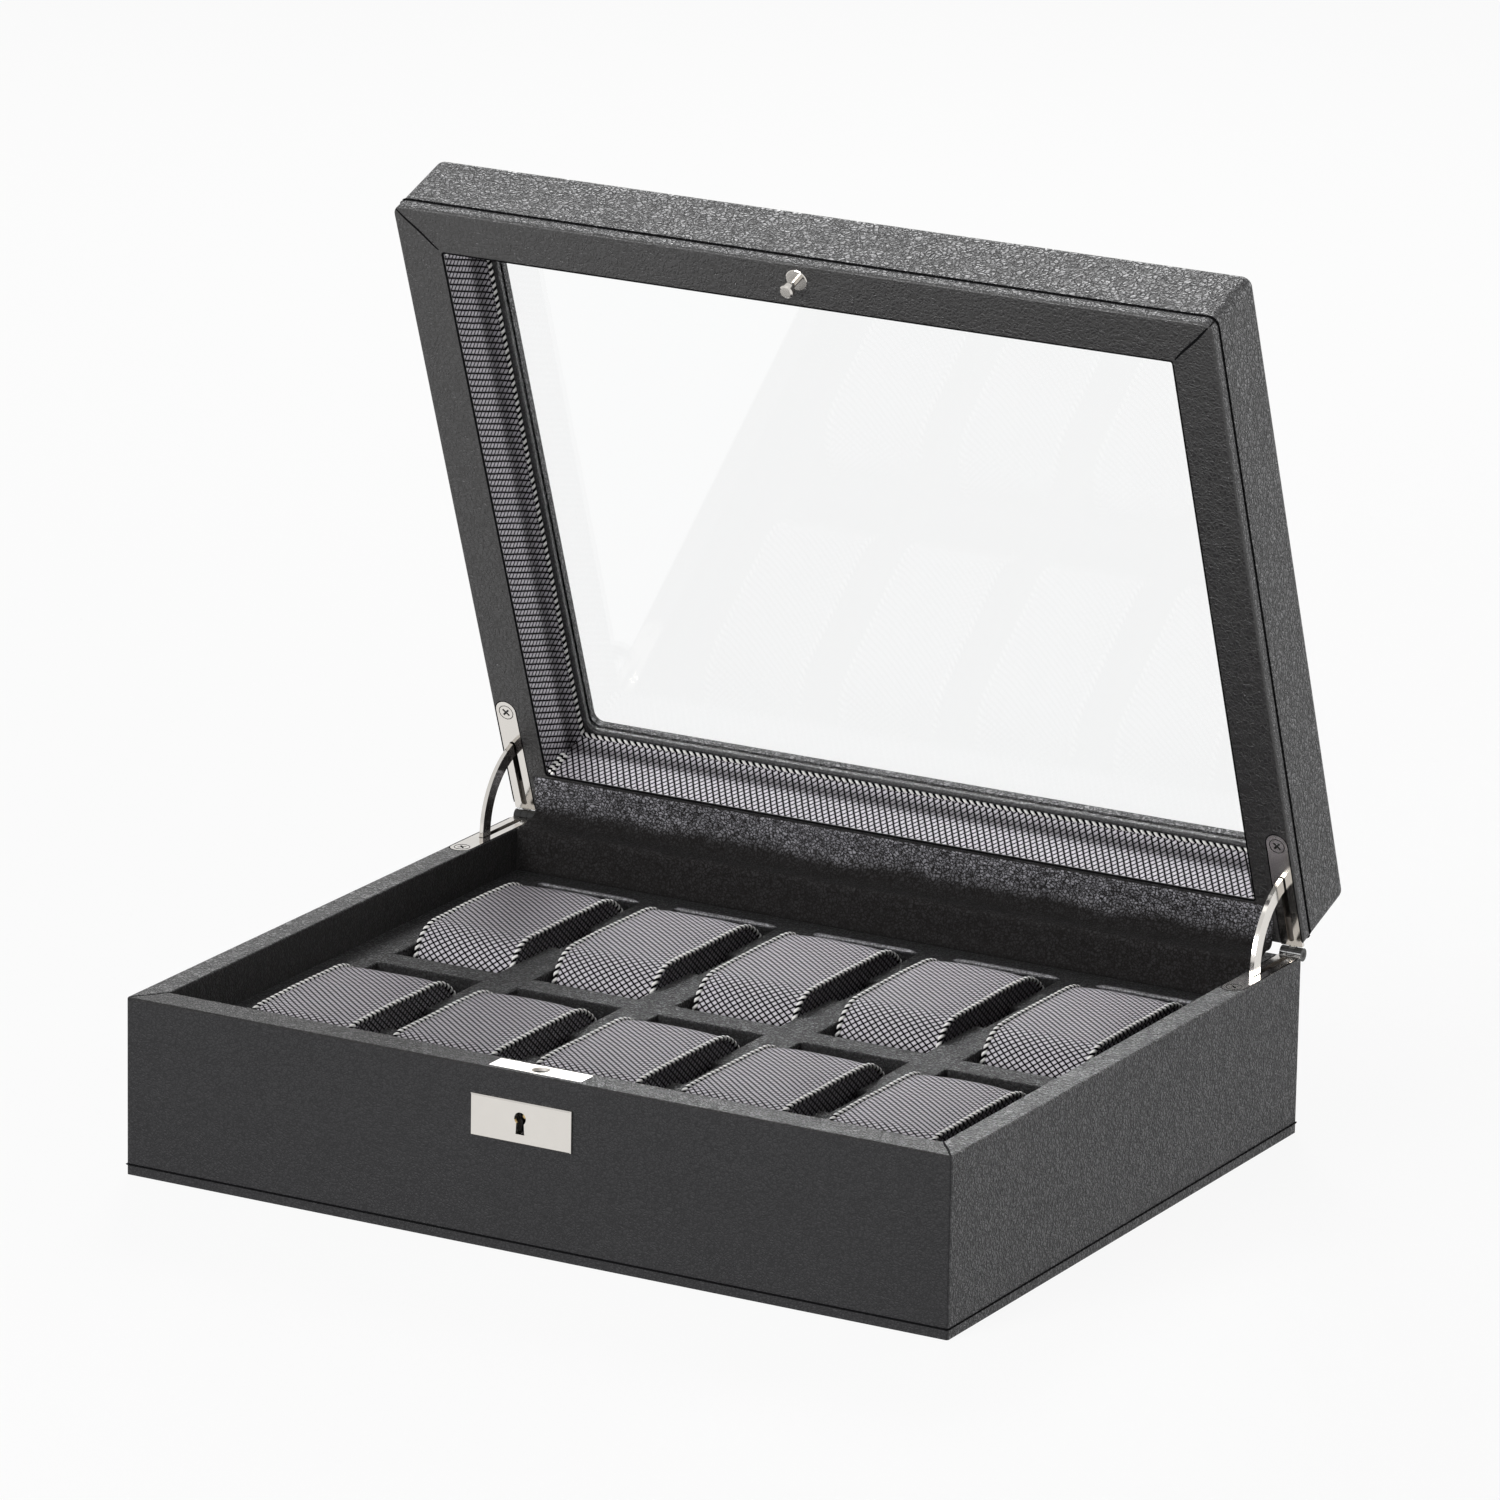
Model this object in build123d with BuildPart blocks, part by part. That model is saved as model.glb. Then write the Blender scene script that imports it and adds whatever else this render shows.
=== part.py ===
from build123d import *
import os
from math import cos, pi, radians, sin, tan

# Watch box with a glazed lid, in millimetres. Z is up, the front faces -Y, and
# the origin is the centre of the underside. The lid stands open at its rest angle.

# driving dimensions
box_width = 340.0
box_depth = 272.0
base_height = 68.0
lid_height = 35.0
closing_gap = 0.4
rest_open = 70.0
full_open = 95.0
skin = 1.0
base_side_wall = 10.5
base_end_wall = 13.0
lid_wall = 17.0
rows = 2
cushions_per_row = 5

# base
felt_thickness = 1.0
felt_inset = 2.0
leather_foot = 0.3
floor_thickness = 6.5
floor_top = felt_thickness + floor_thickness
board_top = base_height - skin
corner_round = 1.0
rim_round = 0.8

# tray
tray_top = 51.5
cell_pitch = 60.2
cell_width = 44.5
cell_inner = 6.3
cell_outer = 110.5
notch_length = 27.0
notch_depth = 4.0
pad_thickness = 1.5
pad_clearance = 0.1
tray_edge_round = 0.7

# cushion
cushion_width = 42.0
cushion_length = 86.0
cushion_height = 48.0
cushion_swell = 1.6
cushion_front_round = 14.0
cushion_back_round = 20.0
cushion_centre = 61.5
cushion_clearance = 0.3
side_draw = 0.7
side_draw_radius = 900.0

# lid
stitch_height = 5.5
window_lip = 5.0
window_corner = 4.0
lining_height = 28.0
lip_thickness = 1.5
glass_thickness = 2.5
glass_clearance = 0.5
lid_corner = 4.0
lid_edge = 3.0
lid_bottom = base_height + closing_gap
glass_bottom = lid_bottom + lining_height + lip_thickness
glass_top = glass_bottom + glass_thickness
lid_top = lid_bottom + lid_height

# hinge
leaf_width = 8.8
leaf_length = 50.0
leaf_thickness = 1.5
hinge_x = box_width / 2 - base_side_wall / 2
pivot_y = box_depth / 2 + 3.2
pivot_z = base_height + closing_gap / 2
knuckle_radius = 2.5
knuckle_end = 2.85
knuckle_gap = 0.15
pin_radius = 1.0
pin_bore = 1.02
pin_running_bore = 1.06
stay_radius = 31.25
stay_width = 5.5
stay_thickness = 1.6
stay_half_span = 53.7
stop_pin_length = 4.4
leaf_slot_width = 2.6
slot_front = pivot_y - stay_radius - stay_width / 2 - 0.6
slot_back = box_depth / 2 - 2.0
pocket_width = 4.8
pocket_back = 124.2
pocket_depth = 29.4
screw_inset = 5.0
screw_head_radius = 3.0
screw_shank_radius = 1.2
screw_length = 11.0
screw_clearance = 0.05
pilot_depth = 13.0
cross_length = 3.6
cross_width = 0.8
cross_depth = 0.7

# lock and catch
lock_x = -3.0
lock_plate_size = (41.5, 15.8)
lock_plate_z = 49.7
lock_plate_thickness = 1.5
lock_plate_bevel = 0.5
keyhole_z = 51.4
keyhole_radius = 2.4
keyhole_foot = 45.5
keyhole_neck = 2.9
keyhole_flare = 3.6
catch_x = 0.5
catch_y = -129.2
case_width = 36.0
case_depth = 8.4
case_bottom = 41.0
case_wall = 0.8
case_clearance = 0.2
strike_width = 38.0
strike_thickness = 1.5
strike_hole = 3.4
stud_plate_radius = 4.4
stud_plate_proud = 0.2
stud_shank_radius = 1.2
stud_head_radius = 2.7
stud_head_height = 2.6
stud_reach = 8.7
stud_root = 9.0
bolt_thickness = 1.6
bolt_bottom = 63.4
bolt_start = 3.1
bolt_length = 12.5
bolt_depth = 6.2
bolt_fork = 2.8
bolt_fork_length = 5.0
bolt_tail = (9.0, 1.4)
bolt_tail_bottom = 47.5
key_post_radius = 0.8

outer = (box_width / 2, box_depth / 2)
base_inner = (outer[0] - base_side_wall, outer[1] - base_end_wall)
lid_inner = (outer[0] - lid_wall, outer[1] - lid_wall)
tilt = radians(rest_open)
mitre_reach = 0.25
base_mitre = (
    (outer[0] + mitre_reach * base_side_wall, outer[1] + mitre_reach * base_end_wall),
    (base_inner[0] - mitre_reach * base_side_wall, base_inner[1] - mitre_reach * base_end_wall),
)
lid_mitre = (
    (outer[0] + mitre_reach * lid_wall, outer[1] + mitre_reach * lid_wall),
    (lid_inner[0] - mitre_reach * lid_wall * 2, lid_inner[1] - mitre_reach * lid_wall * 2),
)
sides = ("front", "back", "left", "right")
hands = {"left": -1, "right": 1}

os.makedirs("parts", exist_ok=True)


def grow(half, amount):
    """Half sizes made larger all round by amount."""
    return (half[0] + amount, half[1] + amount)


def frame_side(side, outside, inside):
    """Corners of one mitred side of a rectangular frame."""
    (wide, deep), (narrow, shallow) = outside, inside
    corners = {
        "front": [(-wide, -deep), (wide, -deep), (narrow, -shallow), (-narrow, -shallow)],
        "back": [(wide, deep), (-wide, deep), (-narrow, shallow), (narrow, shallow)],
        "left": [(-wide, deep), (-wide, -deep), (-narrow, -shallow), (-narrow, shallow)],
        "right": [(wide, -deep), (wide, deep), (narrow, shallow), (narrow, -shallow)],
    }
    return corners[side]


def opened(x, y, z):
    """A point of the closed lid, where it lies with the lid at its rest angle."""
    back, up = y - pivot_y, z - pivot_z
    return (x, pivot_y + back * cos(tilt) + up * sin(tilt), pivot_z - back * sin(tilt) + up * cos(tilt))


def lid_level(z):
    """A plane of the open lid with the closed lid's X and Y, at its height z."""
    return Plane(origin=opened(0, 0, z), x_dir=(1, 0, 0), z_dir=(0, sin(tilt), cos(tilt)))


lid_axis = Axis((0, 0, 0), (0, sin(tilt), cos(tilt)))


def lid_section(x):
    """A plane across the open lid with the closed lid's Y and Z, at x."""
    return Plane(origin=opened(x, 0, 0), x_dir=(0, cos(tilt), -sin(tilt)), z_dir=(1, 0, 0))


def mitred(plane, side, outside, inside, height, mode=Mode.ADD, mitre=None):
    """Extrude one side of a rectangular ring, cut along the mitre lines through two half sizes."""
    far, near = mitre or base_mitre
    with BuildSketch(plane) as ring:
        Rectangle(2 * outside[0], 2 * outside[1])
        Rectangle(2 * inside[0], 2 * inside[1], mode=Mode.SUBTRACT)
        Polygon(*frame_side(side, far, near), align=None, mode=Mode.INTERSECT)
    extrude(ring.sketch, amount=height, mode=mode)


def leaf_outline(plane, centre_x):
    """Plan of a hinge leaf: straight at the back edge and round at the screw end."""
    front = outer[1] - leaf_length
    with BuildSketch(plane) as leaf:
        with Locations((centre_x, (front + leaf_width / 2 + outer[1]) / 2)):
            Rectangle(leaf_width, leaf_length - leaf_width / 2)
        with Locations((centre_x, front + leaf_width / 2)):
            Circle(leaf_width / 2)
    return leaf.sketch


def cut_leaf_seat(plane):
    """Sink both hinge leaves into a rim, from the plane that their far side lies on."""
    for hand in hands.values():
        extrude(leaf_outline(plane, hand * hinge_x), amount=leaf_thickness, mode=Mode.SUBTRACT)


def cut_stay_pocket(plane, depth):
    """Cut the pocket that a stay swings into, from the rim inwards."""
    with BuildSketch(plane) as pocket:
        for hand in hands.values():
            with Locations((hand * hinge_x, (slot_front + pocket_back) / 2)):
                Rectangle(pocket_width, pocket_back - slot_front)
    extrude(pocket.sketch, amount=depth, mode=Mode.SUBTRACT)


def cut_screw_pilot(plane, depth):
    """Cut the pilot holes of the hinge screws, from the rim inwards."""
    with BuildSketch(plane) as pilot:
        for hand in hands.values():
            with Locations((hand * hinge_x, outer[1] - leaf_length + screw_inset)):
                Circle(screw_shank_radius + screw_clearance)
    extrude(pilot.sketch, amount=depth, mode=Mode.SUBTRACT)


def keyhole(plane, margin=0.0):
    """Keyhole outline on a plane with the box's X and Z: a round top over a flared slot."""
    with BuildSketch(plane) as hole:
        with Locations((lock_x, keyhole_z)):
            Circle(keyhole_radius + margin)
        neck, flare = keyhole_neck / 2 + margin, keyhole_flare / 2 + margin
        foot = keyhole_foot - margin
        Polygon(
            (lock_x - flare, foot), (lock_x + flare, foot),
            (lock_x + neck, keyhole_z), (lock_x - neck, keyhole_z), align=None,
        )
    return hole.sketch


def front_plane(y):
    """A plane facing the front at depth y, with the box's X and Z."""
    return Plane(origin=(0, y, 0), x_dir=(1, 0, 0), z_dir=(0, -1, 0))


# bottom felt and floor board
with BuildPart() as bottom_felt:
    with BuildSketch(Plane.XY):
        Rectangle(box_width - 2 * felt_inset, box_depth - 2 * felt_inset)
    extrude(amount=felt_thickness)
bottom_felt.part.label = "bottom_felt"
export_step(bottom_felt.part, "parts/bottom_felt.step")

board_outer, board_inner = grow(outer, -skin), grow(base_inner, skin)
with BuildPart() as floor_board:
    with BuildSketch(Plane.XY.offset(felt_thickness)):
        Rectangle(2 * board_inner[0], 2 * board_inner[1])
    extrude(amount=floor_thickness)
floor_board.part.label = "base_floor_board"
export_step(floor_board.part, "parts/base_floor_board.step")

# base walls: boards mitred at the corners, with the pockets that the metal parts sit in
case_top = base_height - strike_thickness
case_size = (case_width + 2 * case_clearance, case_depth + 2 * case_clearance)
for side in sides:
    with BuildPart() as board:
        mitred(Plane.XY.offset(felt_thickness), side, board_outer, board_inner, board_top - felt_thickness)
        if side == "front":
            with BuildSketch(Plane.XY.offset(case_bottom - case_clearance)):
                with Locations((catch_x, catch_y)):
                    Rectangle(*case_size)
            extrude(amount=board_top - case_bottom + case_clearance, mode=Mode.SUBTRACT)
            with BuildSketch(Plane.XY.offset(case_top)):
                with Locations((catch_x, catch_y)):
                    Rectangle(strike_width, case_depth)
            extrude(amount=strike_thickness, mode=Mode.SUBTRACT)
            extrude(keyhole(front_plane(catch_y), skin / 2), amount=case_depth, mode=Mode.SUBTRACT)
        else:
            cut_leaf_seat(Plane.XY.offset(base_height - leaf_thickness))
        if side in hands:
            cut_stay_pocket(Plane.XY.offset(pivot_z - pocket_depth), pocket_depth)
            cut_screw_pilot(Plane.XY.offset(base_height - pilot_depth), pilot_depth)
    board.part.label = f"base_{side}_board"
    export_step(board.part, f"parts/base_{side}_board.step")

# base leather: each wall is wrapped over its outside, its rim and its inside
for side in sides:
    with BuildPart() as wrap:
        foot = Plane.XY.offset(leather_foot)
        mitred(foot, side, outer, base_inner, base_height - leather_foot)
        mitred(foot, side, board_outer, board_inner, board_top - leather_foot, Mode.SUBTRACT)
        with BuildSketch(Plane.XY.offset(leather_foot)):
            Rectangle(2 * board_inner[0], 2 * board_inner[1])
        extrude(amount=floor_top - leather_foot, mode=Mode.SUBTRACT)
        with BuildSketch(Plane.XY.offset(leather_foot)):
            RectangleRounded(box_width, box_depth, corner_round)
        extrude(amount=base_height, mode=Mode.INTERSECT)
        long_edges = wrap.edges().filter_by(Axis.Z, reverse=True).group_by(Axis.Z)[-1]
        direction = Axis.X if side in ("front", "back") else Axis.Y
        fillet(long_edges.filter_by(direction), rim_round)
        if side == "front":
            with BuildSketch(Plane.XY.offset(board_top - skin)):
                with Locations((catch_x, catch_y)):
                    Rectangle(strike_width, case_depth)
            extrude(amount=2 * skin, mode=Mode.SUBTRACT)
            extrude(keyhole(front_plane(catch_y), skin / 2), amount=case_depth, mode=Mode.SUBTRACT)
        else:
            cut_leaf_seat(Plane.XY.offset(base_height - leaf_thickness))
    wrap.part.label = f"base_{side}_leather"
    export_step(wrap.part, f"parts/base_{side}_leather.step")

# tray core: bars between the cells, under the tray's leather
core_top = tray_top - skin
core_inner, core_outer = cell_inner - skin, cell_outer + skin
cell_centres = [cell_pitch * (column - (cushions_per_row - 1) / 2) for column in range(cushions_per_row)]
cell_middle = (cell_inner + cell_outer) / 2
side_bar = cell_centres[-1] + cell_width / 2 + skin


def core_notch(row_sign):
    """Cut the finger notches on the right-hand side of each cell of a row."""
    depth = notch_depth + skin
    for centre in cell_centres:
        edge = centre + cell_width / 2
        with BuildSketch(Plane.XY.offset(floor_top)) as notch:
            with Locations((edge + depth / 2, row_sign * cell_middle)):
                Rectangle(depth, notch_length + 2 * skin)
        extrude(notch.sketch, amount=core_top - floor_top, mode=Mode.SUBTRACT)


with BuildPart() as centre_bar:
    with BuildSketch(Plane.XY.offset(floor_top)):
        Rectangle(2 * base_inner[0], 2 * core_inner)
    extrude(amount=core_top - floor_top)
centre_bar.part.label = "tray_centre_bar"
export_step(centre_bar.part, "parts/tray_centre_bar.step")

with BuildPart() as end_bars:
    with BuildSketch(Plane.XY.offset(floor_top)):
        with Locations((0, (core_outer + base_inner[1]) / 2), (0, -(core_outer + base_inner[1]) / 2)):
            Rectangle(2 * base_inner[0], base_inner[1] - core_outer)
    extrude(amount=core_top - floor_top)
end_bars.part.label = "tray_end_bars"
export_step(end_bars.part, "parts/tray_end_bars.step")

with BuildPart() as dividers:
    with BuildSketch(Plane.XY.offset(floor_top)):
        for sign in (-1, 1):
            for left, right in zip(cell_centres, cell_centres[1:]):
                with Locations(((left + right) / 2, sign * (core_inner + core_outer) / 2)):
                    Rectangle(cell_pitch - cell_width - 2 * skin, core_outer - core_inner)
    extrude(amount=core_top - floor_top)
    for sign in (-1, 1):
        core_notch(sign)
dividers.part.label = "tray_dividers"
export_step(dividers.part, "parts/tray_dividers.step")

with BuildPart() as side_bars:
    with BuildSketch(Plane.XY.offset(floor_top)):
        for across in (-1, 1):
            for sign in (-1, 1):
                centre = (across * (side_bar + base_inner[0]) / 2, sign * (core_inner + core_outer) / 2)
                with Locations(centre):
                    Rectangle(base_inner[0] - side_bar, core_outer - core_inner)
    extrude(amount=core_top - floor_top)
    for sign in (-1, 1):
        core_notch(sign)
side_bars.part.label = "tray_side_bars"
export_step(side_bars.part, "parts/tray_side_bars.step")

# tray leather: one skin over the bars and down every cell wall


def cell_outlines(margin, height, mode):
    """Cut or add all the cells, grown all round by margin."""
    with BuildSketch(Plane.XY.offset(floor_top)) as cells:
        for sign in (-1, 1):
            for centre in cell_centres:
                with Locations((centre, sign * cell_middle)):
                    Rectangle(cell_width + 2 * margin, cell_outer - cell_inner + 2 * margin)
                with Locations((centre + cell_width / 2, sign * cell_middle)):
                    Rectangle(2 * (notch_depth + margin), notch_length + 2 * margin)
    extrude(cells.sketch, amount=height, mode=mode)


with BuildPart() as tray_leather:
    cell_outlines(skin, core_top - floor_top, Mode.ADD)
    with BuildSketch(Plane.XY.offset(core_top)):
        Rectangle(2 * base_inner[0], 2 * base_inner[1])
    extrude(amount=skin)
    cell_outlines(0, tray_top - floor_top, Mode.SUBTRACT)
    top_edges = tray_leather.faces().sort_by(Axis.Z)[-1].edges()
    fillet(top_edges.filter_by(lambda edge: abs(edge.center().Y) < base_inner[1] - skin
                               and abs(edge.center().X) < base_inner[0] - skin), tray_edge_round)
tray_leather.part.label = "tray_leather"
export_step(tray_leather.part, "parts/tray_leather.step")

with BuildPart() as floor_pads:
    with BuildSketch(Plane.XY.offset(floor_top)):
        for sign in (-1, 1):
            for centre in cell_centres:
                with Locations((centre, sign * cell_middle)):
                    Rectangle(cell_width - 2 * pad_clearance, cell_outer - cell_inner - 2 * pad_clearance)
    extrude(amount=pad_thickness)
floor_pads.part.label = "cell_floor_pads"
export_step(floor_pads.part, "parts/cell_floor_pads.step")

# cushions: crowned between their side seams, with the sides drawn in


def cushion_section(plane, swell):
    """Cushion outline across its width, standing out of the seam's outline by swell."""
    half = cushion_length / 2 + swell
    top = cushion_height + swell
    front_round, back_round = cushion_front_round + swell, cushion_back_round + swell
    front_start, back_start = (-half + front_round, top), (half - back_round, top)
    slant = cos(radians(45))
    with BuildSketch(plane) as section:
        with BuildLine():
            Line((half - swell, 0), (-half + swell, 0))
            Line((-half + swell, 0), (-half, top - front_round))
            ThreePointArc(
                (-half, top - front_round),
                (front_start[0] - front_round * slant, top - front_round * (1 - slant)),
                front_start,
            )
            ThreePointArc(front_start, ((front_start[0] + back_start[0]) / 2, top + swell / 2), back_start)
            ThreePointArc(
                back_start,
                (back_start[0] + back_round * slant, top - back_round * (1 - slant)),
                (half, top - back_round),
            )
            Line((half, top - back_round), (half - swell, 0))
        make_face()
    return section.sketch


cushion_bottom = floor_top + pad_thickness + cushion_clearance
cushion_steps = ((-0.5, 0.3), (-0.36, 0.75), (0, 1.0), (0.36, 0.75), (0.5, 0.3))
for row, sign in (("front", -1), ("back", 1)):
    for column, centre in enumerate(cell_centres, start=1):
        middle = (centre, sign * cushion_centre)
        with BuildPart() as cushion:
            outlines = []
            for share, swell in cushion_steps:
                origin = (centre + share * cushion_width, middle[1], cushion_bottom)
                across = Plane(origin=origin, x_dir=(0, 1, 0), z_dir=(1, 0, 0))
                outlines.append(cushion_section(across, cushion_swell * swell))
            loft(outlines)
            with BuildSketch(Plane.XY.offset(cushion_bottom)):
                reach = cushion_width / 2 + side_draw_radius - side_draw
                with Locations((middle[0] - reach, middle[1]), (middle[0] + reach, middle[1])):
                    Circle(side_draw_radius)
            extrude(amount=cushion_height + 2 * cushion_swell, mode=Mode.SUBTRACT)
        cushion.part.label = f"cushion_{row}_{column}"
        export_step(cushion.part, f"parts/cushion_{row}_{column}.step")

# lid rails, top frame, glass and its retaining lip
rail_outer, rail_top = grow(outer, -skin), glass_top
for side in sides:
    with BuildPart() as rail:
        rail_foot = lid_level(lid_bottom + skin)
        mitred(rail_foot, side, rail_outer, lid_inner, rail_top - lid_bottom - skin, mitre=lid_mitre)
        with BuildSketch(lid_level(lid_bottom)):
            RectangleRounded(2 * rail_outer[0], 2 * rail_outer[1], lid_corner - skin)
        extrude(amount=lid_height, mode=Mode.INTERSECT)
        if side == "front":
            with BuildSketch(lid_level(lid_bottom)):
                with Locations((catch_x, catch_y)):
                    Circle(stud_shank_radius + screw_clearance)
            extrude(amount=stud_root, mode=Mode.SUBTRACT)
        else:
            cut_leaf_seat(lid_level(lid_bottom))
        if side in hands:
            cut_stay_pocket(lid_level(lid_bottom), pocket_depth)
            cut_screw_pilot(lid_level(lid_bottom), pilot_depth)
    rail.part.label = f"lid_{side}_rail"
    export_step(rail.part, f"parts/lid_{side}_rail.step")

window = grow(lid_inner, -window_lip)
top_board_bottom = glass_top
with BuildPart() as top_frame:
    with BuildSketch(lid_level(top_board_bottom)):
        RectangleRounded(2 * rail_outer[0], 2 * rail_outer[1], lid_corner - skin)
        Rectangle(2 * (window[0] + skin), 2 * (window[1] + skin), mode=Mode.SUBTRACT)
    extrude(amount=lid_top - skin - top_board_bottom)
top_frame.part.label = "lid_top_frame"
export_step(top_frame.part, "parts/lid_top_frame.step")

with BuildPart() as glass:
    with BuildSketch(lid_level(glass_bottom)):
        Rectangle(2 * (lid_inner[0] - glass_clearance), 2 * (lid_inner[1] - glass_clearance))
    extrude(amount=glass_thickness)
glass.part.label = "lid_glass"
export_step(glass.part, "parts/lid_glass.step")

with BuildPart() as lip:
    with BuildSketch(lid_level(glass_bottom - lip_thickness)):
        Rectangle(2 * lid_inner[0], 2 * lid_inner[1])
        RectangleRounded(2 * window[0], 2 * window[1], window_corner, mode=Mode.SUBTRACT)
    extrude(amount=lip_thickness)
lip.part.label = "glass_retaining_frame"
export_step(lip.part, "parts/glass_retaining_frame.step")

lining_inner = grow(lid_inner, -skin)
for side in sides:
    with BuildPart() as lining:
        mitred(
            lid_level(lid_bottom + skin), side, lid_inner, lining_inner, lining_height - skin, mitre=lid_mitre
        )
    lining.part.label = f"lid_{side}_lining"
    export_step(lining.part, f"parts/lid_{side}_lining.step")

# lid leather: a mitred strip on the closing face and round its edge, and one skin above the seam
for side in sides:
    with BuildPart() as rim_leather:
        with BuildSketch(lid_level(lid_bottom)):
            RectangleRounded(box_width, box_depth, lid_corner)
        extrude(amount=stitch_height)
        fillet(rim_leather.faces().sort_by(lid_axis)[0].edges(), rim_round)
        mitred(lid_level(lid_bottom), side, outer, lining_inner, stitch_height, Mode.INTERSECT, lid_mitre)
        mitred(
            lid_level(lid_bottom + skin), side, rail_outer, lining_inner, stitch_height,
            Mode.SUBTRACT, lid_mitre,
        )
        if side == "front":
            with BuildSketch(lid_level(lid_bottom)):
                with Locations((catch_x, catch_y)):
                    Circle(stud_plate_radius)
            extrude(amount=skin, mode=Mode.SUBTRACT)
        else:
            cut_leaf_seat(lid_level(lid_bottom))
    rim_leather.part.label = f"lid_{side}_rim_leather"
    export_step(rim_leather.part, f"parts/lid_{side}_rim_leather.step")

with BuildPart() as wall_leather:
    with BuildSketch(lid_level(lid_bottom + stitch_height)):
        RectangleRounded(box_width, box_depth, lid_corner)
    extrude(amount=lid_height - stitch_height)
    fillet(wall_leather.faces().sort_by(lid_axis)[-1].edges(), lid_edge)
    with BuildSketch(lid_level(lid_bottom + stitch_height)):
        RectangleRounded(2 * rail_outer[0], 2 * rail_outer[1], lid_corner - skin)
    extrude(amount=lid_height - stitch_height - skin, mode=Mode.SUBTRACT)
    with BuildSketch(lid_level(top_board_bottom)):
        Rectangle(2 * (window[0] + skin), 2 * (window[1] + skin))
    extrude(amount=lid_top - skin - top_board_bottom)
    with BuildSketch(lid_level(top_board_bottom)):
        RectangleRounded(2 * window[0], 2 * window[1], window_corner)
    extrude(amount=lid_height, mode=Mode.SUBTRACT)
wall_leather.part.label = "lid_wall_leather"
export_step(wall_leather.part, "parts/lid_wall_leather.step")

# hinges: two leaves a side, joined by a pin behind the box, and a curved stay through both
base_knuckles = ((-leaf_width / 2, knuckle_end), (leaf_width / 2 - knuckle_end, knuckle_end))
lid_knuckle_width = leaf_width - 2 * knuckle_end - 2 * knuckle_gap
lid_knuckles = ((-lid_knuckle_width / 2, lid_knuckle_width),)


def knuckle(plane_at, near, far, width, bore):
    """One knuckle and the tongue that joins it to its leaf, extruded along the pin."""
    with BuildSketch(plane_at) as barrel:
        with Locations((pivot_y, pivot_z)):
            Circle(knuckle_radius)
        tongue_start = outer[1] - skin
        with Locations(((tongue_start + pivot_y) / 2, (near + far) / 2)):
            Rectangle(pivot_y - tongue_start, far - near)
        with Locations((pivot_y, pivot_z)):
            Circle(bore, mode=Mode.SUBTRACT)
    extrude(barrel.sketch, amount=width)


def leaf(name, centre_x, level, section, knuckles, bore, mouth):
    """A hinge leaf lying between two heights, with its slot, screw seat and knuckles."""
    low, high = level
    with BuildPart() as plate:
        extrude(leaf_outline(mouth(low), centre_x), amount=high - low)
        with BuildSketch(mouth(low)) as slot:
            with Locations((centre_x, (slot_front + slot_back) / 2)):
                SlotOverall(slot_back - slot_front, leaf_slot_width, rotation=90)
        extrude(slot.sketch, amount=high - low, mode=Mode.SUBTRACT)
        for start, width in knuckles:
            knuckle(section(centre_x + start), low, high, width, bore)
        rim_level = high if level[1] == base_height else low
        seat = mouth(rim_level)
        profile_plane = Plane(
            origin=seat.from_local_coords((centre_x, outer[1] - leaf_length + screw_inset, 0)),
            x_dir=(1, 0, 0),
            z_dir=section(0).x_dir,
        )
        inward = -1 if rim_level == high else 1
        axis_dir = seat.z_dir * inward
        with BuildSketch(profile_plane) as sink:
            up = profile_plane.to_local_coords(Vector(*profile_plane.origin) + axis_dir).Y
            Polygon(
                (0, 0), (screw_head_radius + screw_clearance, 0),
                (screw_shank_radius + screw_clearance, up * leaf_thickness), (0, up * leaf_thickness),
                align=None,
            )
        revolve(sink.sketch, axis=Axis(profile_plane.origin, axis_dir), mode=Mode.SUBTRACT)
    plate.part.label = name
    export_step(plate.part, f"parts/{name}.step")


for hand, sign in hands.items():
    leaf(
        f"base_leaf_{hand}", sign * hinge_x, (base_height - leaf_thickness, base_height),
        lambda x: Plane.YZ.offset(x), base_knuckles, pin_bore, lambda z: Plane.XY.offset(z),
    )
    leaf(
        f"lid_leaf_{hand}", sign * hinge_x, (lid_bottom, lid_bottom + leaf_thickness),
        lid_section, lid_knuckles, pin_running_bore, lid_level,
    )

    with BuildPart() as pin:
        with BuildSketch(Plane.YZ.offset(sign * hinge_x - leaf_width / 2)):
            with Locations((pivot_y, pivot_z)):
                Circle(pin_radius)
        extrude(amount=leaf_width)
    pin.part.label = f"hinge_pin_{hand}"
    export_step(pin.part, f"parts/hinge_pin_{hand}.step")

    with BuildPart() as stay:
        swing = Plane(
            origin=(sign * hinge_x + stay_thickness / 2, pivot_y, pivot_z),
            x_dir=(0, -1, 0),
            z_dir=(-1, 0, 0),
        )
        start_angle = rest_open / 2 - stay_half_span
        centre_line = CenterArc((0, 0), stay_radius, start_angle, 2 * stay_half_span)
        with BuildSketch(swing):
            SlotArc(centre_line, stay_width)
        extrude(amount=stay_thickness)
        with BuildSketch(swing.offset((stay_thickness - stop_pin_length) / 2)):
            for angle in (start_angle, start_angle + 2 * stay_half_span):
                end = (stay_radius * cos(radians(angle)), stay_radius * sin(radians(angle)))
                with Locations(end):
                    Circle(pin_radius)
        extrude(amount=stop_pin_length)
    stay.part.label = f"stay_{hand}"
    export_step(stay.part, f"parts/stay_{hand}.step")


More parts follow.
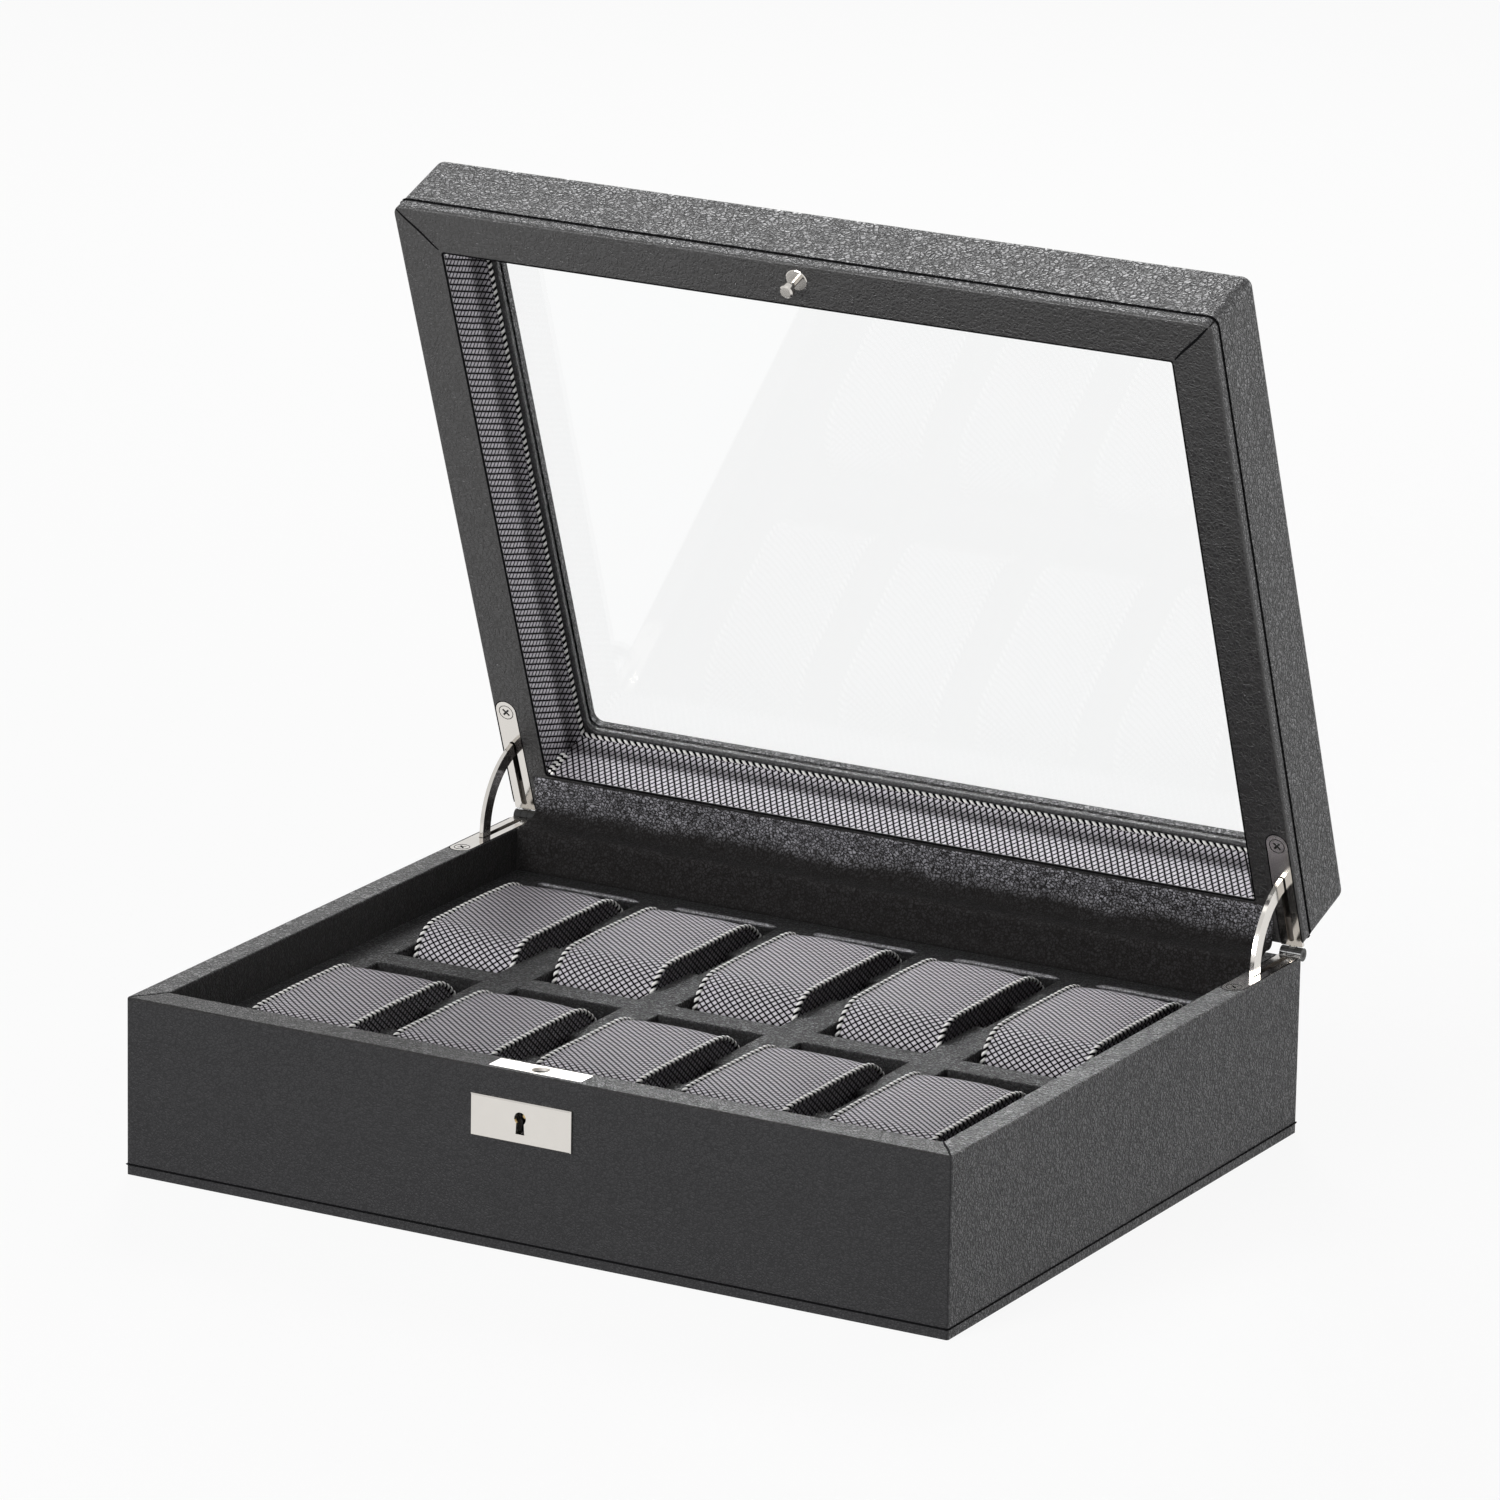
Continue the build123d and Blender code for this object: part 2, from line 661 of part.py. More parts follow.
def hinge_screws(name, seat, inward, across):
    """The two countersunk screws of the leaves on one rim, with a cross in each head."""
    with BuildPart() as screws:
        for sign in hands.values():
            top = seat.from_local_coords((sign * hinge_x, outer[1] - leaf_length + screw_inset, 0))
            profile_plane = Plane(origin=top, x_dir=(1, 0, 0), z_dir=across)
            axis_dir = seat.z_dir * inward
            up = profile_plane.to_local_coords(Vector(*top) + axis_dir).Y
            with BuildSketch(profile_plane) as profile:
                Polygon(
                    (0, 0), (screw_head_radius, 0), (screw_shank_radius, up * leaf_thickness),
                    (screw_shank_radius, up * screw_length), (0, up * (screw_length + screw_shank_radius)),
                    align=None,
                )
            revolve(profile.sketch, axis=Axis(top, axis_dir))
            with BuildSketch(Plane(origin=top, x_dir=(1, 0, 0), z_dir=axis_dir)) as cross:
                Rectangle(cross_length, cross_width, rotation=45)
                Rectangle(cross_length, cross_width, rotation=-45)
            extrude(cross.sketch, amount=cross_depth, mode=Mode.SUBTRACT)
    screws.part.label = name
    export_step(screws.part, f"parts/{name}.step")


hinge_screws("base_hinge_screws", Plane.XY.offset(base_height), -1, (0, 1, 0))
hinge_screws("lid_hinge_screws", lid_level(lid_bottom), 1, lid_section(0).x_dir)

# leather strip from the lid's lining, round the hollow behind the rims and down to the tray
strip_half = hinge_x - leaf_width / 2 - 2.0
strip_thickness = 0.8
strip_radius = 7.0
strip_reach = 19.8
strip_foot = tray_top + 0.2


def strip_point(along_rim, along_lid, off_rim=0.0, off_lid=0.0):
    """Y and Z of a point measured from where the base's rim and the lid's closing face meet."""
    behind = (pivot_z - base_height + (lid_bottom - pivot_z) * cos(tilt)) / sin(tilt)
    meet_y = opened(0, pivot_y + behind, lid_bottom)[1]
    return (
        meet_y - along_rim - along_lid * cos(tilt) - off_lid * sin(tilt),
        base_height + along_lid * sin(tilt) - off_lid * cos(tilt) + off_rim,
    )


back_round = strip_radius + strip_thickness
tangent = back_round / tan(tilt / 2)
round_centre = strip_point(tangent, 0, off_rim=back_round)
bisector = (-cos(tilt / 2), sin(tilt / 2))
rim_edge = base_inner[1]
with BuildPart() as strip:
    with BuildSketch(Plane.YZ.offset(-strip_half)):
        with BuildLine():
            Line(strip_point(0, strip_reach), strip_point(0, tangent))
            ThreePointArc(
                strip_point(0, tangent),
                (round_centre[0] - back_round * bisector[0], round_centre[1] - back_round * bisector[1]),
                strip_point(tangent, 0),
            )
            Polyline(
                strip_point(tangent, 0),
                (rim_edge, base_height),
                (rim_edge, strip_foot),
                (rim_edge - strip_thickness, strip_foot),
                (rim_edge - strip_thickness, base_height),
            )
            ThreePointArc(
                (rim_edge - strip_thickness, base_height),
                (rim_edge - strip_thickness * cos(pi / 4), base_height + strip_thickness * sin(pi / 4)),
                (rim_edge, base_height + strip_thickness),
            )
            Line((rim_edge, base_height + strip_thickness), strip_point(tangent, 0, off_rim=strip_thickness))
            ThreePointArc(
                strip_point(tangent, 0, off_rim=strip_thickness),
                (round_centre[0] - strip_radius * bisector[0], round_centre[1] - strip_radius * bisector[1]),
                strip_point(0, tangent, off_lid=strip_thickness),
            )
            Polyline(
                strip_point(0, tangent, off_lid=strip_thickness),
                strip_point(0, strip_reach, off_lid=strip_thickness),
                strip_point(0, strip_reach),
            )
        make_face()
    extrude(amount=2 * strip_half)
strip.part.label = "hinge_strip"
export_step(strip.part, "parts/hinge_strip.step")

# lock plate on the front, with its bevelled edge and keyhole
with BuildPart() as lock_plate:
    with BuildSketch(front_plane(-outer[1])):
        with Locations((lock_x, lock_plate_z)):
            Rectangle(*lock_plate_size)
    extrude(amount=lock_plate_thickness)
    front_face = lock_plate.faces().sort_by(Axis.Y)[0]
    chamfer(front_face.edges(), lock_plate_bevel)
    extrude(keyhole(front_plane(-outer[1])), amount=lock_plate_thickness, mode=Mode.SUBTRACT)
lock_plate.part.label = "lock_plate"
export_step(lock_plate.part, "parts/lock_plate.step")

# lock case in the front wall, open at the top under the strike plate
with BuildPart() as lock_case:
    with BuildSketch(Plane.XY.offset(case_bottom)):
        with Locations((catch_x, catch_y)):
            Rectangle(case_width, case_depth)
    extrude(amount=case_top - case_bottom)
    with BuildSketch(Plane.XY.offset(case_bottom + case_wall)):
        with Locations((catch_x, catch_y)):
            Rectangle(case_width - 2 * case_wall, case_depth - 2 * case_wall)
    extrude(amount=case_top - case_bottom, mode=Mode.SUBTRACT)
    extrude(keyhole(front_plane(catch_y), skin / 4), amount=case_depth, mode=Mode.SUBTRACT)
lock_case.part.label = "lock_case"
export_step(lock_case.part, "parts/lock_case.step")

with BuildPart() as key_post:
    with BuildSketch(front_plane(catch_y + case_depth / 2 - case_wall)):
        with Locations((lock_x, keyhole_z)):
            Circle(key_post_radius)
    extrude(amount=case_depth)
key_post.part.label = "key_post"
export_step(key_post.part, "parts/key_post.step")

with BuildPart() as strike:
    with BuildSketch(Plane.XY.offset(case_top)):
        with Locations((catch_x, catch_y)):
            Rectangle(strike_width, case_depth)
            Circle(strike_hole, mode=Mode.SUBTRACT)
    extrude(amount=strike_thickness)
strike.part.label = "strike_plate"
export_step(strike.part, "parts/strike_plate.step")

# lock bolt: a fork that slides round the neck of the lid's stud, with a tail that the key drives
with BuildPart() as bolt:
    with BuildSketch(Plane.XY.offset(bolt_bottom)):
        with Locations((catch_x + bolt_start + bolt_length / 2, catch_y)):
            Rectangle(bolt_length, bolt_depth)
        with Locations((catch_x + bolt_start + bolt_fork_length / 2, catch_y)):
            Rectangle(bolt_fork_length, bolt_fork, mode=Mode.SUBTRACT)
    extrude(amount=bolt_thickness)
    tail_x = catch_x + bolt_start + bolt_length - bolt_tail[0] / 2
    tail_y = catch_y + (bolt_depth - bolt_tail[1]) / 2
    with BuildSketch(Plane.XY.offset(bolt_tail_bottom)):
        with Locations((tail_x, tail_y)):
            Rectangle(*bolt_tail)
    extrude(amount=bolt_bottom - bolt_tail_bottom)
bolt.part.label = "lock_bolt"
export_step(bolt.part, "parts/lock_bolt.step")

# catch stud on the lid: a flanged plate, a neck and a button head, turned in one piece
stud_plate_bottom = lid_bottom - stud_plate_proud
stud_tip = lid_bottom - stud_reach
stud_axis = lid_level(lid_bottom)
with BuildPart() as stud:
    with BuildSketch(lid_section(catch_x)):
        with BuildLine():
            Polyline(
                (catch_y, lid_bottom + stud_root),
                (catch_y, stud_tip),
                (catch_y + stud_head_radius - 0.6, stud_tip),
                (catch_y + stud_head_radius, stud_tip + 0.6),
                (catch_y + stud_head_radius, stud_tip + stud_head_height),
                (catch_y + stud_shank_radius, stud_tip + stud_head_height + 0.3),
                (catch_y + stud_shank_radius, stud_plate_bottom),
                (catch_y + stud_plate_radius - 0.3, stud_plate_bottom),
                (catch_y + stud_plate_radius, lid_bottom),
                (catch_y + stud_plate_radius, lid_bottom + skin),
                (catch_y + stud_shank_radius, lid_bottom + skin),
                (catch_y + stud_shank_radius, lid_bottom + stud_root),
                close=True,
            )
        make_face()
    revolve(axis=Axis(stud_axis.from_local_coords((catch_x, catch_y, 0)), stud_axis.z_dir))
stud.part.label = "catch_stud"
export_step(stud.part, "parts/catch_stud.step")
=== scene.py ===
import math
import random

import bmesh
import bpy
from mathutils import Matrix, Vector, noise


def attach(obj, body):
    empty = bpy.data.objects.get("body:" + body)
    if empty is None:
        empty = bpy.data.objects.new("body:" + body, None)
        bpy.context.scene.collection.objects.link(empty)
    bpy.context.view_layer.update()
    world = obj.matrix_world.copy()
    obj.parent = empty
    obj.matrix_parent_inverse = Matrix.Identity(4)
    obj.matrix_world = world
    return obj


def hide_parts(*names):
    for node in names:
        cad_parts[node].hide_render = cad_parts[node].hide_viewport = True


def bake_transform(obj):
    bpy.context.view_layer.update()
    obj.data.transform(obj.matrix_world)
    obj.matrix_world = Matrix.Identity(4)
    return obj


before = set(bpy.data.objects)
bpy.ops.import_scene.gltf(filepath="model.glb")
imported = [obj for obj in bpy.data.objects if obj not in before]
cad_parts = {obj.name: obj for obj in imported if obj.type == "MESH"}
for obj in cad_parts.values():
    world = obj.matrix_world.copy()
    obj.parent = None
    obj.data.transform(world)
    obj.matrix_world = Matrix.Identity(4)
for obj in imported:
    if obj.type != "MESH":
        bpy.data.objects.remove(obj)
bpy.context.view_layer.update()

bl_info = {
    "name": "Watch box dressing",
    "version": (1, 0, 0),
    "blender": (4, 5, 0),
    "location": "3D View > Sidebar > Watch box",
    "description": "Dresses the watch box: leather, weave, piping, stitching, glass and nickel, with its stage",
    "category": "Object",
}

MM = 0.001

# the box as the CAD has it, in mm, with the lid closed
OPEN = math.radians(70)
PIVOT_Y, PIVOT_Z = 139.2, 68.2
BASE_RIM, LID_FOOT = 68.0, 68.4
HALF_X, HALF_Y = 170.0, 136.0
INSIDE_X, INSIDE_Y = 159.8, 123.3
LINING_X, LINING_Y = 152.0, 118.0
TRAY_TOP = 51.7
CELL_PITCH, CELL_COUNT = 60.2, 5
CUSHION_Y, CUSHION_Z = 61.5, 9.3
CUSHION_WIDTH, CUSHION_LENGTH, CUSHION_HEIGHT = 42.0, 86.0, 48.0
FRONT_ROUND, BACK_ROUND = 14.0, 20.0
LEAF_X, LEAF_WIDTH, LEAF_ROUND_Y, LEAF_END_Y = 164.75, 8.8, 90.4, 133.5
SCREW_Y, SCREW_RADIUS = 91.0, 3.05
ROWS = (("front", -1), ("back", 1))
SIDES = ("front", "back", "left", "right")

# the soft pieces, in mm
WRAP_HALF = CUSHION_WIDTH / 2 - 0.35
SWELL = 1.6
SIDE_PULL, SIDE_RINGS = 0.7, 9
LINING_PROFILE = (
    (0.0, 1.0), (0.0, 7.0), (-0.1, 11.5), (-0.35, 15.0), (-0.45, 18.0), (-0.3, 20.5), (0.1, 23.0), (0.55, 25.3),
    (0.95, 27.6))
# the lining's thickness, and how far along it the band of painted shade at its fold lies
LINING_THICKNESS, LINING_SHADED_FOLD = 0.45, 19.0
PIPING_STAND, PIPING_SINK = 0.35, 0.4
CORNER_CORDS, CORNER_HEIGHTS = (0.1, 1.0), (1.5, 5.0, 8.0, 11.0, 14.0)
BEAD_INSET, BEAD_CORNER, BEAD_OUT, BEAD_UP, BEAD_WIDE, BEAD_HIGH = 4.9, 4.0, 1.9, 0.4, 1.15, 1.3
LID_SEAM, BASE_SEAM, GROOVE_OUT = LID_FOOT + 5.5, 4.2, 0.2
LID_MITRE = ((153.2, 119.2), (168.6, 134.6))
BASE_MITRE = ((INSIDE_X, INSIDE_Y - 0.1), (169.2, 135.3))
# half widths of the mitre creases and of the painted shadows round the leaves and screws, and their height
MITRE_GAP, LEAF_SHADOW_WIDTH, SCREW_SHADOW_WIDTH, GAP_HEIGHT = 0.5, 0.24, 0.16, 0.1
ROLL_Y, ROLL_HALF, ROLL_RADIUS = 110.9, 22.5, 0.95
STRIP_HALF, STRIP_THICKNESS = 158.3, 0.32

# the colour the leather is darkened to: painted shade inside the base, low on the strip and on the lid's closing
# face, and the darker top of the base's rim
DEEP_COLOUR = (0.0032, 0.0024, 0.0021)
# the hinge's blacking, and the painted shade in the screws' crosses
BLACKING_AND_SHADE_COLOUR = (0.01, 0.01, 0.01)
BLACK_THREAD = (0.004, 0.004, 0.0045)


def open_lid(x, y, z):
    """A point of the closed lid in mm, in metres where it lies in the stored pose."""
    back, up = y - PIVOT_Y, z - PIVOT_Z
    return (
        x * MM,
        (PIVOT_Y + back * math.cos(OPEN) + up * math.sin(OPEN)) * MM,
        (PIVOT_Z - back * math.sin(OPEN) + up * math.cos(OPEN)) * MM,
    )


def in_metres(x, y, z):
    """A point in mm, in metres."""
    return (x * MM, y * MM, z * MM)


# node building


def add_node(tree, kind, settings, values, named):
    """Add a node, set its settings, then link or set its sockets, given by order or by name."""
    node = tree.nodes.new(kind)
    for key, setting in (settings or {}).items():
        setattr(node, key, setting)
    for key, value in [*enumerate(values), *named.items()]:
        fill(tree, node.inputs[key.replace("_", " ") if isinstance(key, str) else key], value)
    return node


def fill(tree, socket, value):
    source = getattr(value, "output", value)
    if isinstance(source, bpy.types.NodeSocket):
        tree.links.new(source, socket)
    else:
        socket.default_value = value


class Value:
    """A node output that takes Python arithmetic by adding Math nodes."""

    def __init__(self, shader, output):
        self.shader, self.output = shader, output

    def _math(self, operation, *values):
        return self.shader.node("ShaderNodeMath", {"operation": operation}, *values).out(0)

    def __add__(self, other):
        return self._math("ADD", self, other)

    def __radd__(self, other):
        return self._math("ADD", other, self)

    def __sub__(self, other):
        return self._math("SUBTRACT", self, other)

    def __rsub__(self, other):
        return self._math("SUBTRACT", other, self)

    def __mul__(self, other):
        return self._math("MULTIPLY", self, other)

    def __truediv__(self, other):
        return self._math("DIVIDE", self, other)

    def fract(self):
        return self._math("FRACT", self)

    def abs(self):
        return self._math("ABSOLUTE", self)

    def sine(self):
        return self._math("SINE", self)

    def lowest(self, other):
        return self._math("MINIMUM", self, other)

    def highest(self, other):
        return self._math("MAXIMUM", self, other)

    def ramp(self, low, high):
        """0 below low and 1 above high, smooth between."""
        smooth = {"interpolation_type": "SMOOTHSTEP"}
        return self.shader.node("ShaderNodeMapRange", smooth, self, low, high).out("Result")

    def axes(self):
        """The X, Y and Z of a place."""
        split = self.shader.node("ShaderNodeSeparateXYZ", None, self)
        return [split.out(axis) for axis in "XYZ"]


class Built:
    """A node with its outputs as Values."""

    def __init__(self, shader, node):
        self.shader, self.node = shader, node

    def out(self, name):
        return Value(self.shader, self.node.outputs[name])


class Shader:
    """A material, or a world, under construction."""

    def __init__(self, name, library="materials"):
        self.owner = getattr(bpy.data, library).new(name)
        self.owner.use_nodes = True
        self.tree = self.owner.node_tree
        self.tree.nodes.clear()

    def node(self, kind, settings=None, *values, **named):
        return Built(self, add_node(self.tree, kind, settings, values, named))

    def mix(self, share, first, second):
        """A colour between first and second, which are the Mix node's sockets 6 and 7, with output 2."""
        mixed = self.node("ShaderNodeMix", {"data_type": "RGBA"}, share)
        fill(self.tree, mixed.node.inputs[6], first)
        fill(self.tree, mixed.node.inputs[7], second)
        return mixed.out(2)

    def place(self):
        """Object coordinates."""
        return self.node("ShaderNodeTexCoord").out("Object")

    def noise(self, where, scale, detail=2.0, rough=0.5, name="Fac"):
        built = self.node("ShaderNodeTexNoise", None, Vector=where, Scale=scale, Detail=detail, Roughness=rough)
        return built.out(name)

    def bump(self, height, strength, distance):
        return self.node("ShaderNodeBump", None, strength, distance, Height=height).out("Normal")

    def seen(self):
        """1 for the rays that show a thing: the camera's own, and those from gloss and through glass."""
        path = self.node("ShaderNodeLightPath")
        return path.out("Is Camera Ray").highest(path.out("Is Glossy Ray")).highest(path.out("Is Transmission Ray"))

    def surface(self, **sockets):
        """Close the material with a Principled surface."""
        return self.close(self.node("ShaderNodeBsdfPrincipled", None, **sockets).out("BSDF"))

    def close(self, surface, kind="ShaderNodeOutputMaterial"):
        self.node(kind, None, Surface=surface)
        return self.owner


def scaled(colour, share):
    return [c * share for c in colour]


def rgba(colour, share=1.0):
    return (*scaled(colour, share), 1.0)


def grained_leather(name, ridge, crease_shade_colour, pebble, depth, roughness, highlight, wrinkle=0.3, wear_and_shade=None):
    """Pebbled leather: flat grains between creases painted dark as shade, crossed by longer wrinkles, with broad wear
    in its gloss.

    The last argument takes the place, and gives the shares to darken, mostly as painted shade, to dull and to
    flatten.
    """
    shader = Shader(name)
    where = shader.place()
    drift = shader.noise(where, 0.4 / pebble, 3.0, 0.6, "Color")
    warp = (pebble * 2.2,) * 3
    shifted = shader.node("ShaderNodeVectorMath", {"operation": "MULTIPLY_ADD"}, drift, warp, where).out("Vector")
    cells = shader.node("ShaderNodeTexVoronoi", {"feature": "DISTANCE_TO_EDGE"}, Vector=shifted, Scale=1.0 / pebble)
    edge = cells.out("Distance")
    raised = edge.ramp(0.0, 0.24)
    crease = edge.ramp(0.01, 0.2)
    folds = shader.noise(shifted, 0.3 / pebble, 4.0, 0.6)
    fold_lines = (folds - 0.5).abs().ramp(0.0, 0.06)
    pores = shader.noise(where, 2600.0, 2.0, 0.6)
    broad = shader.noise(where, 14.0, 3.0)
    darkened, dulled, flattened = wear_and_shade(where) if wear_and_shade else (0.0, 0.0, 0.0)
    height = (raised * 0.7 + fold_lines * wrinkle * 1.5 + folds * wrinkle * 1.5) * (1.0 - flattened) + pores * 0.06
    furrow = crease * (0.4 + fold_lines * 0.6)
    # painted shade: the creases are coloured darker than the grains
    tone = (furrow * (0.7 + raised * 0.3) + broad * 0.2 - 0.1).highest(0.0).lowest(1.0)
    return shader.surface(
        Base_Color=shader.mix(darkened, shader.mix(tone, rgba(crease_shade_colour), rgba(ridge)), rgba(DEEP_COLOUR)),
        Roughness=roughness + (1.0 - furrow) * 0.25 + broad * 0.1 - 0.05 + dulled,
        Specular_IOR_Level=highlight,
        Normal=shader.bump(height, depth, 0.0005),
    )


def base_painted_shade(where):
    """The base's leather: painted shade darkens and dulls it down the inside of the walls; on top of the rim it is
    darker and a little glossier.
    """
    x, y, z = where.axes()
    inside = 1.0 - (x.abs() - INSIDE_X * MM).highest(y.abs() - INSIDE_Y * MM).ramp(-0.0004, 0.0004)
    top = z.ramp((BASE_RIM - 1.2) * MM, (BASE_RIM - 0.4) * MM) * (1.0 - inside)
    return inside.highest(top * 0.72), inside * 0.5 - top * 0.08, inside * 0.6


def strip_painted_shade(where):
    """The strip's leather, painted pale as light over the lid's rail: painted shade darkens and dulls it down in the
    box.
    """
    _, _, z = where.axes()
    low = 1.0 - (z + (where.shader.noise(where, 40.0, 2.0) - 0.5) * 0.006).ramp(0.0715, 0.0795)
    return low * 0.97, low * 0.35, low * 0.6


def rim_painted_shade(where):
    """The lid's edging leather: pressed smooth and darkened as painted shade on the closing face, pebbled outside up
    to the seam.
    """
    face = 1.0 - lid_height(where).ramp(0.0005, 0.0019)
    return face * 0.88, face * -0.06, face * 0.7


def lid_height(where):
    """How far a place of the open lid lies from the hinge's axis, square to the closing face, in metres."""
    _, y, z = where.axes()
    return (y - PIVOT_Y * MM) * math.sin(OPEN) + (z - PIVOT_Z * MM) * math.cos(OPEN)


def brushed_suede(name, colour):
    """Short-napped suede with brushed patches."""
    shader = Shader(name)
    where = shader.place()
    nap = shader.noise(where, 1500.0, 3.0, 0.7)
    brushed = shader.noise(where, 30.0, 4.0, 0.6).ramp(0.3, 0.7)
    return shader.surface(
        Base_Color=shader.mix(nap * 0.6 + brushed * 0.4, rgba(colour, 0.6), rgba(colour, 1.25)),
        Roughness=0.9,
        Specular_IOR_Level=0.05,
        Sheen_Weight=0.03,
        Sheen_Roughness=0.5,
        Normal=shader.bump(nap, 0.5, 0.0004),
    )


def diamond_weave(name, light, dark, across, along, seam=None, fold=None):
    """Jacquard weave laid out in mm on the UV map: dark lines crossing in diamonds round pale slanted threads.

    seam is how far from the middle the weave is painted black, a painted shadow of the seam's gap; fold is how far
    along a band of painted shade darkens the weave.
    """
    shader = Shader(name)
    x, y, _ = shader.node("ShaderNodeTexCoord").out("UV").axes()
    slack = (shader.noise(shader.place(), 130.0, 2.0) - 0.5) * 0.16
    u, v = x / across, y / along
    line_a = ((u + v + slack).fract() - 0.5).abs()
    line_b = ((u - v + slack).fract() - 0.5).abs()
    gap = 0.5 - line_a.highest(line_b)
    cell = gap.ramp(0.11, 0.165)
    threads = ((v * 3.0 + u) * (2.0 * math.pi)).sine() * 0.5 + 0.5
    uneven = shader.noise(shader.place(), 900.0, 2.0)
    # each diamond is painted paler towards its middle: a painted highlight on its swell
    shade = cell * (0.5 + gap.ramp(0.12, 0.4) * 0.35 + threads * 0.15 + uneven * 0.15).lowest(1.0)
    if seam is not None:
        # painted shadow of the seam's gap beside the piping
        shade = shade * (1.0 - x.abs().ramp(seam - 0.75, seam - 0.4))
    if fold is not None:
        # painted shade in a band along the lining's fold
        fold_shade = 1.0 - (y - fold).abs().ramp(0.5, 6.0)
        shade = shade * (1.0 - fold_shade * 0.66)
    height = gap.ramp(0.0, 0.35) * 0.8 + threads * 0.18
    return shader.surface(
        Base_Color=shader.mix(shade, rgba(dark), rgba(light)),
        Roughness=0.8 - shade * 0.3,
        Specular_IOR_Level=0.06,
        Normal=shader.bump(height, 0.5, 0.00035),
    )


def polished_nickel(name, colour, roughness, wear, sunk=None):
    """Plated nickel with faint polishing waves and smears.

    sunk takes the place and gives the share of blacking there, or of painted shade in the screws' crosses.
    """
    shader = Shader(name)
    where = shader.place()
    smear = shader.noise(where, 180.0, 4.0, 0.6)
    waves = shader.noise(where, 60.0, 1.0)
    bare_metal = 1.0 - sunk(where) if sunk else 1.0
    bright = shader.mix(smear, rgba(colour, 0.94), rgba(colour))
    return shader.surface(
        Base_Color=shader.mix(bare_metal, rgba(BLACKING_AND_SHADE_COLOUR), bright),
        Metallic=bare_metal,
        Roughness=roughness + smear * wear,
        Normal=shader.bump(waves, 0.05, 0.0006),
    )


def base_recess(where):
    """How far a place on a base screw lies in its cross, which is painted dark as shade."""
    _, _, z = where.axes()
    return (BASE_RIM * MM - z).ramp(0.00008, 0.0002)


def lid_recess(where):
    """How far a place on a lid screw lies in its cross, which is painted dark as shade."""
    return (lid_height(where) - (LID_FOOT - PIVOT_Z) * MM).ramp(0.00008, 0.0002)


def base_knuckle(where):
    """How far a place on a base leaf lies behind the box, where the hinge is blackened."""
    _, y, _ = where.axes()
    return y.ramp((HALF_Y + 0.1) * MM, (HALF_Y + 0.6) * MM)


def lid_knuckle(where):
    """How far a place on a lid leaf lies behind the box when the lid is closed."""
    _, y, z = where.axes()
    back = (y - PIVOT_Y * MM) * math.cos(OPEN) - (z - PIVOT_Z * MM) * math.sin(OPEN)
    return back.ramp(-0.0031, -0.0026)


def twisted_thread(name, colour, roughness, highlight):
    """Cord strand with its own fine twist."""
    shader = Shader(name)
    fibre = shader.noise(shader.place(), 3000.0, 2.0, 0.6)
    return shader.surface(
        Base_Color=shader.mix(fibre, rgba(colour, 0.7), rgba(colour)),
        Roughness=roughness,
        Specular_IOR_Level=highlight,
        Normal=shader.bump(fibre, 0.3, 0.0001),
    )


def clear_glass(name):
    """Clear float glass with a breath of dust in its gloss, which lets the lamps through."""
    shader = Shader(name)
    dust = shader.noise(shader.place(), 25.0, 3.0).ramp(0.45, 0.8)
    pane = shader.node(
        "ShaderNodeBsdfPrincipled", None, Base_Color=(0.985, 0.99, 0.99, 1.0), Roughness=dust * 0.02,
        Transmission_Weight=1.0, IOR=1.36)
    clear = shader.node("ShaderNodeBsdfTransparent", None, Color=(0.94, 0.95, 0.95, 1.0))
    shadow = shader.node("ShaderNodeLightPath").out("Is Shadow Ray")
    mixed = shader.node("ShaderNodeMixShader", None, shadow, pane.out("BSDF"), clear.out("BSDF"))
    return shader.close(mixed.out("Shader"))


def pressed_board(name, colour):
    """Raw fibreboard."""
    shader = Shader(name)
    fibre = shader.noise(shader.place(), 900.0, 4.0, 0.7)
    return shader.surface(
        Base_Color=shader.mix(fibre, rgba(colour, 0.75), rgba(colour)),
        Roughness=0.9,
        Normal=shader.bump(fibre, 0.2, 0.0003),
    )


# geometry nodes


class Tree:
    """A Geometry Nodes tree with named sizes and threads as its inputs."""

    def __init__(self, name, sizes, threads):
        self.group = bpy.data.node_groups.new(name, "GeometryNodeTree")
        face = self.group.interface
        kinds = [("Geometry", "Geometry"), *((size, "Float") for size in sizes), *((t, "Material") for t in threads)]
        for title, kind in kinds:
            face.new_socket(title, in_out="INPUT", socket_type="NodeSocket" + kind)
        face.new_socket("Geometry", in_out="OUTPUT", socket_type="NodeSocketGeometry")
        self.given = self.group.nodes.new("NodeGroupInput").outputs
        self.sink = self.group.nodes.new("NodeGroupOutput")

    def node(self, kind, settings=None, *values, **named):
        """Add a node and give back its outputs."""
        return add_node(self.group, kind, settings, values, named).outputs

    def maths(self, operation, *values):
        return self.node("ShaderNodeMath", {"operation": operation}, *values)[0]

    def vector(self, operation, *values, **named):
        return self.node("ShaderNodeVectorMath", {"operation": operation}, *values, **named)["Vector"]

    def dressed(self, geometry, thread):
        """Real geometry of one material."""
        whole = self.node("GeometryNodeRealizeInstances", Geometry=geometry)["Geometry"]
        return self.node("GeometryNodeSetMaterial", Geometry=whole, Material=self.given[thread])["Geometry"]

    def finish(self, geometry):
        self.group.links.new(geometry, self.sink.inputs["Geometry"])
        return self.group


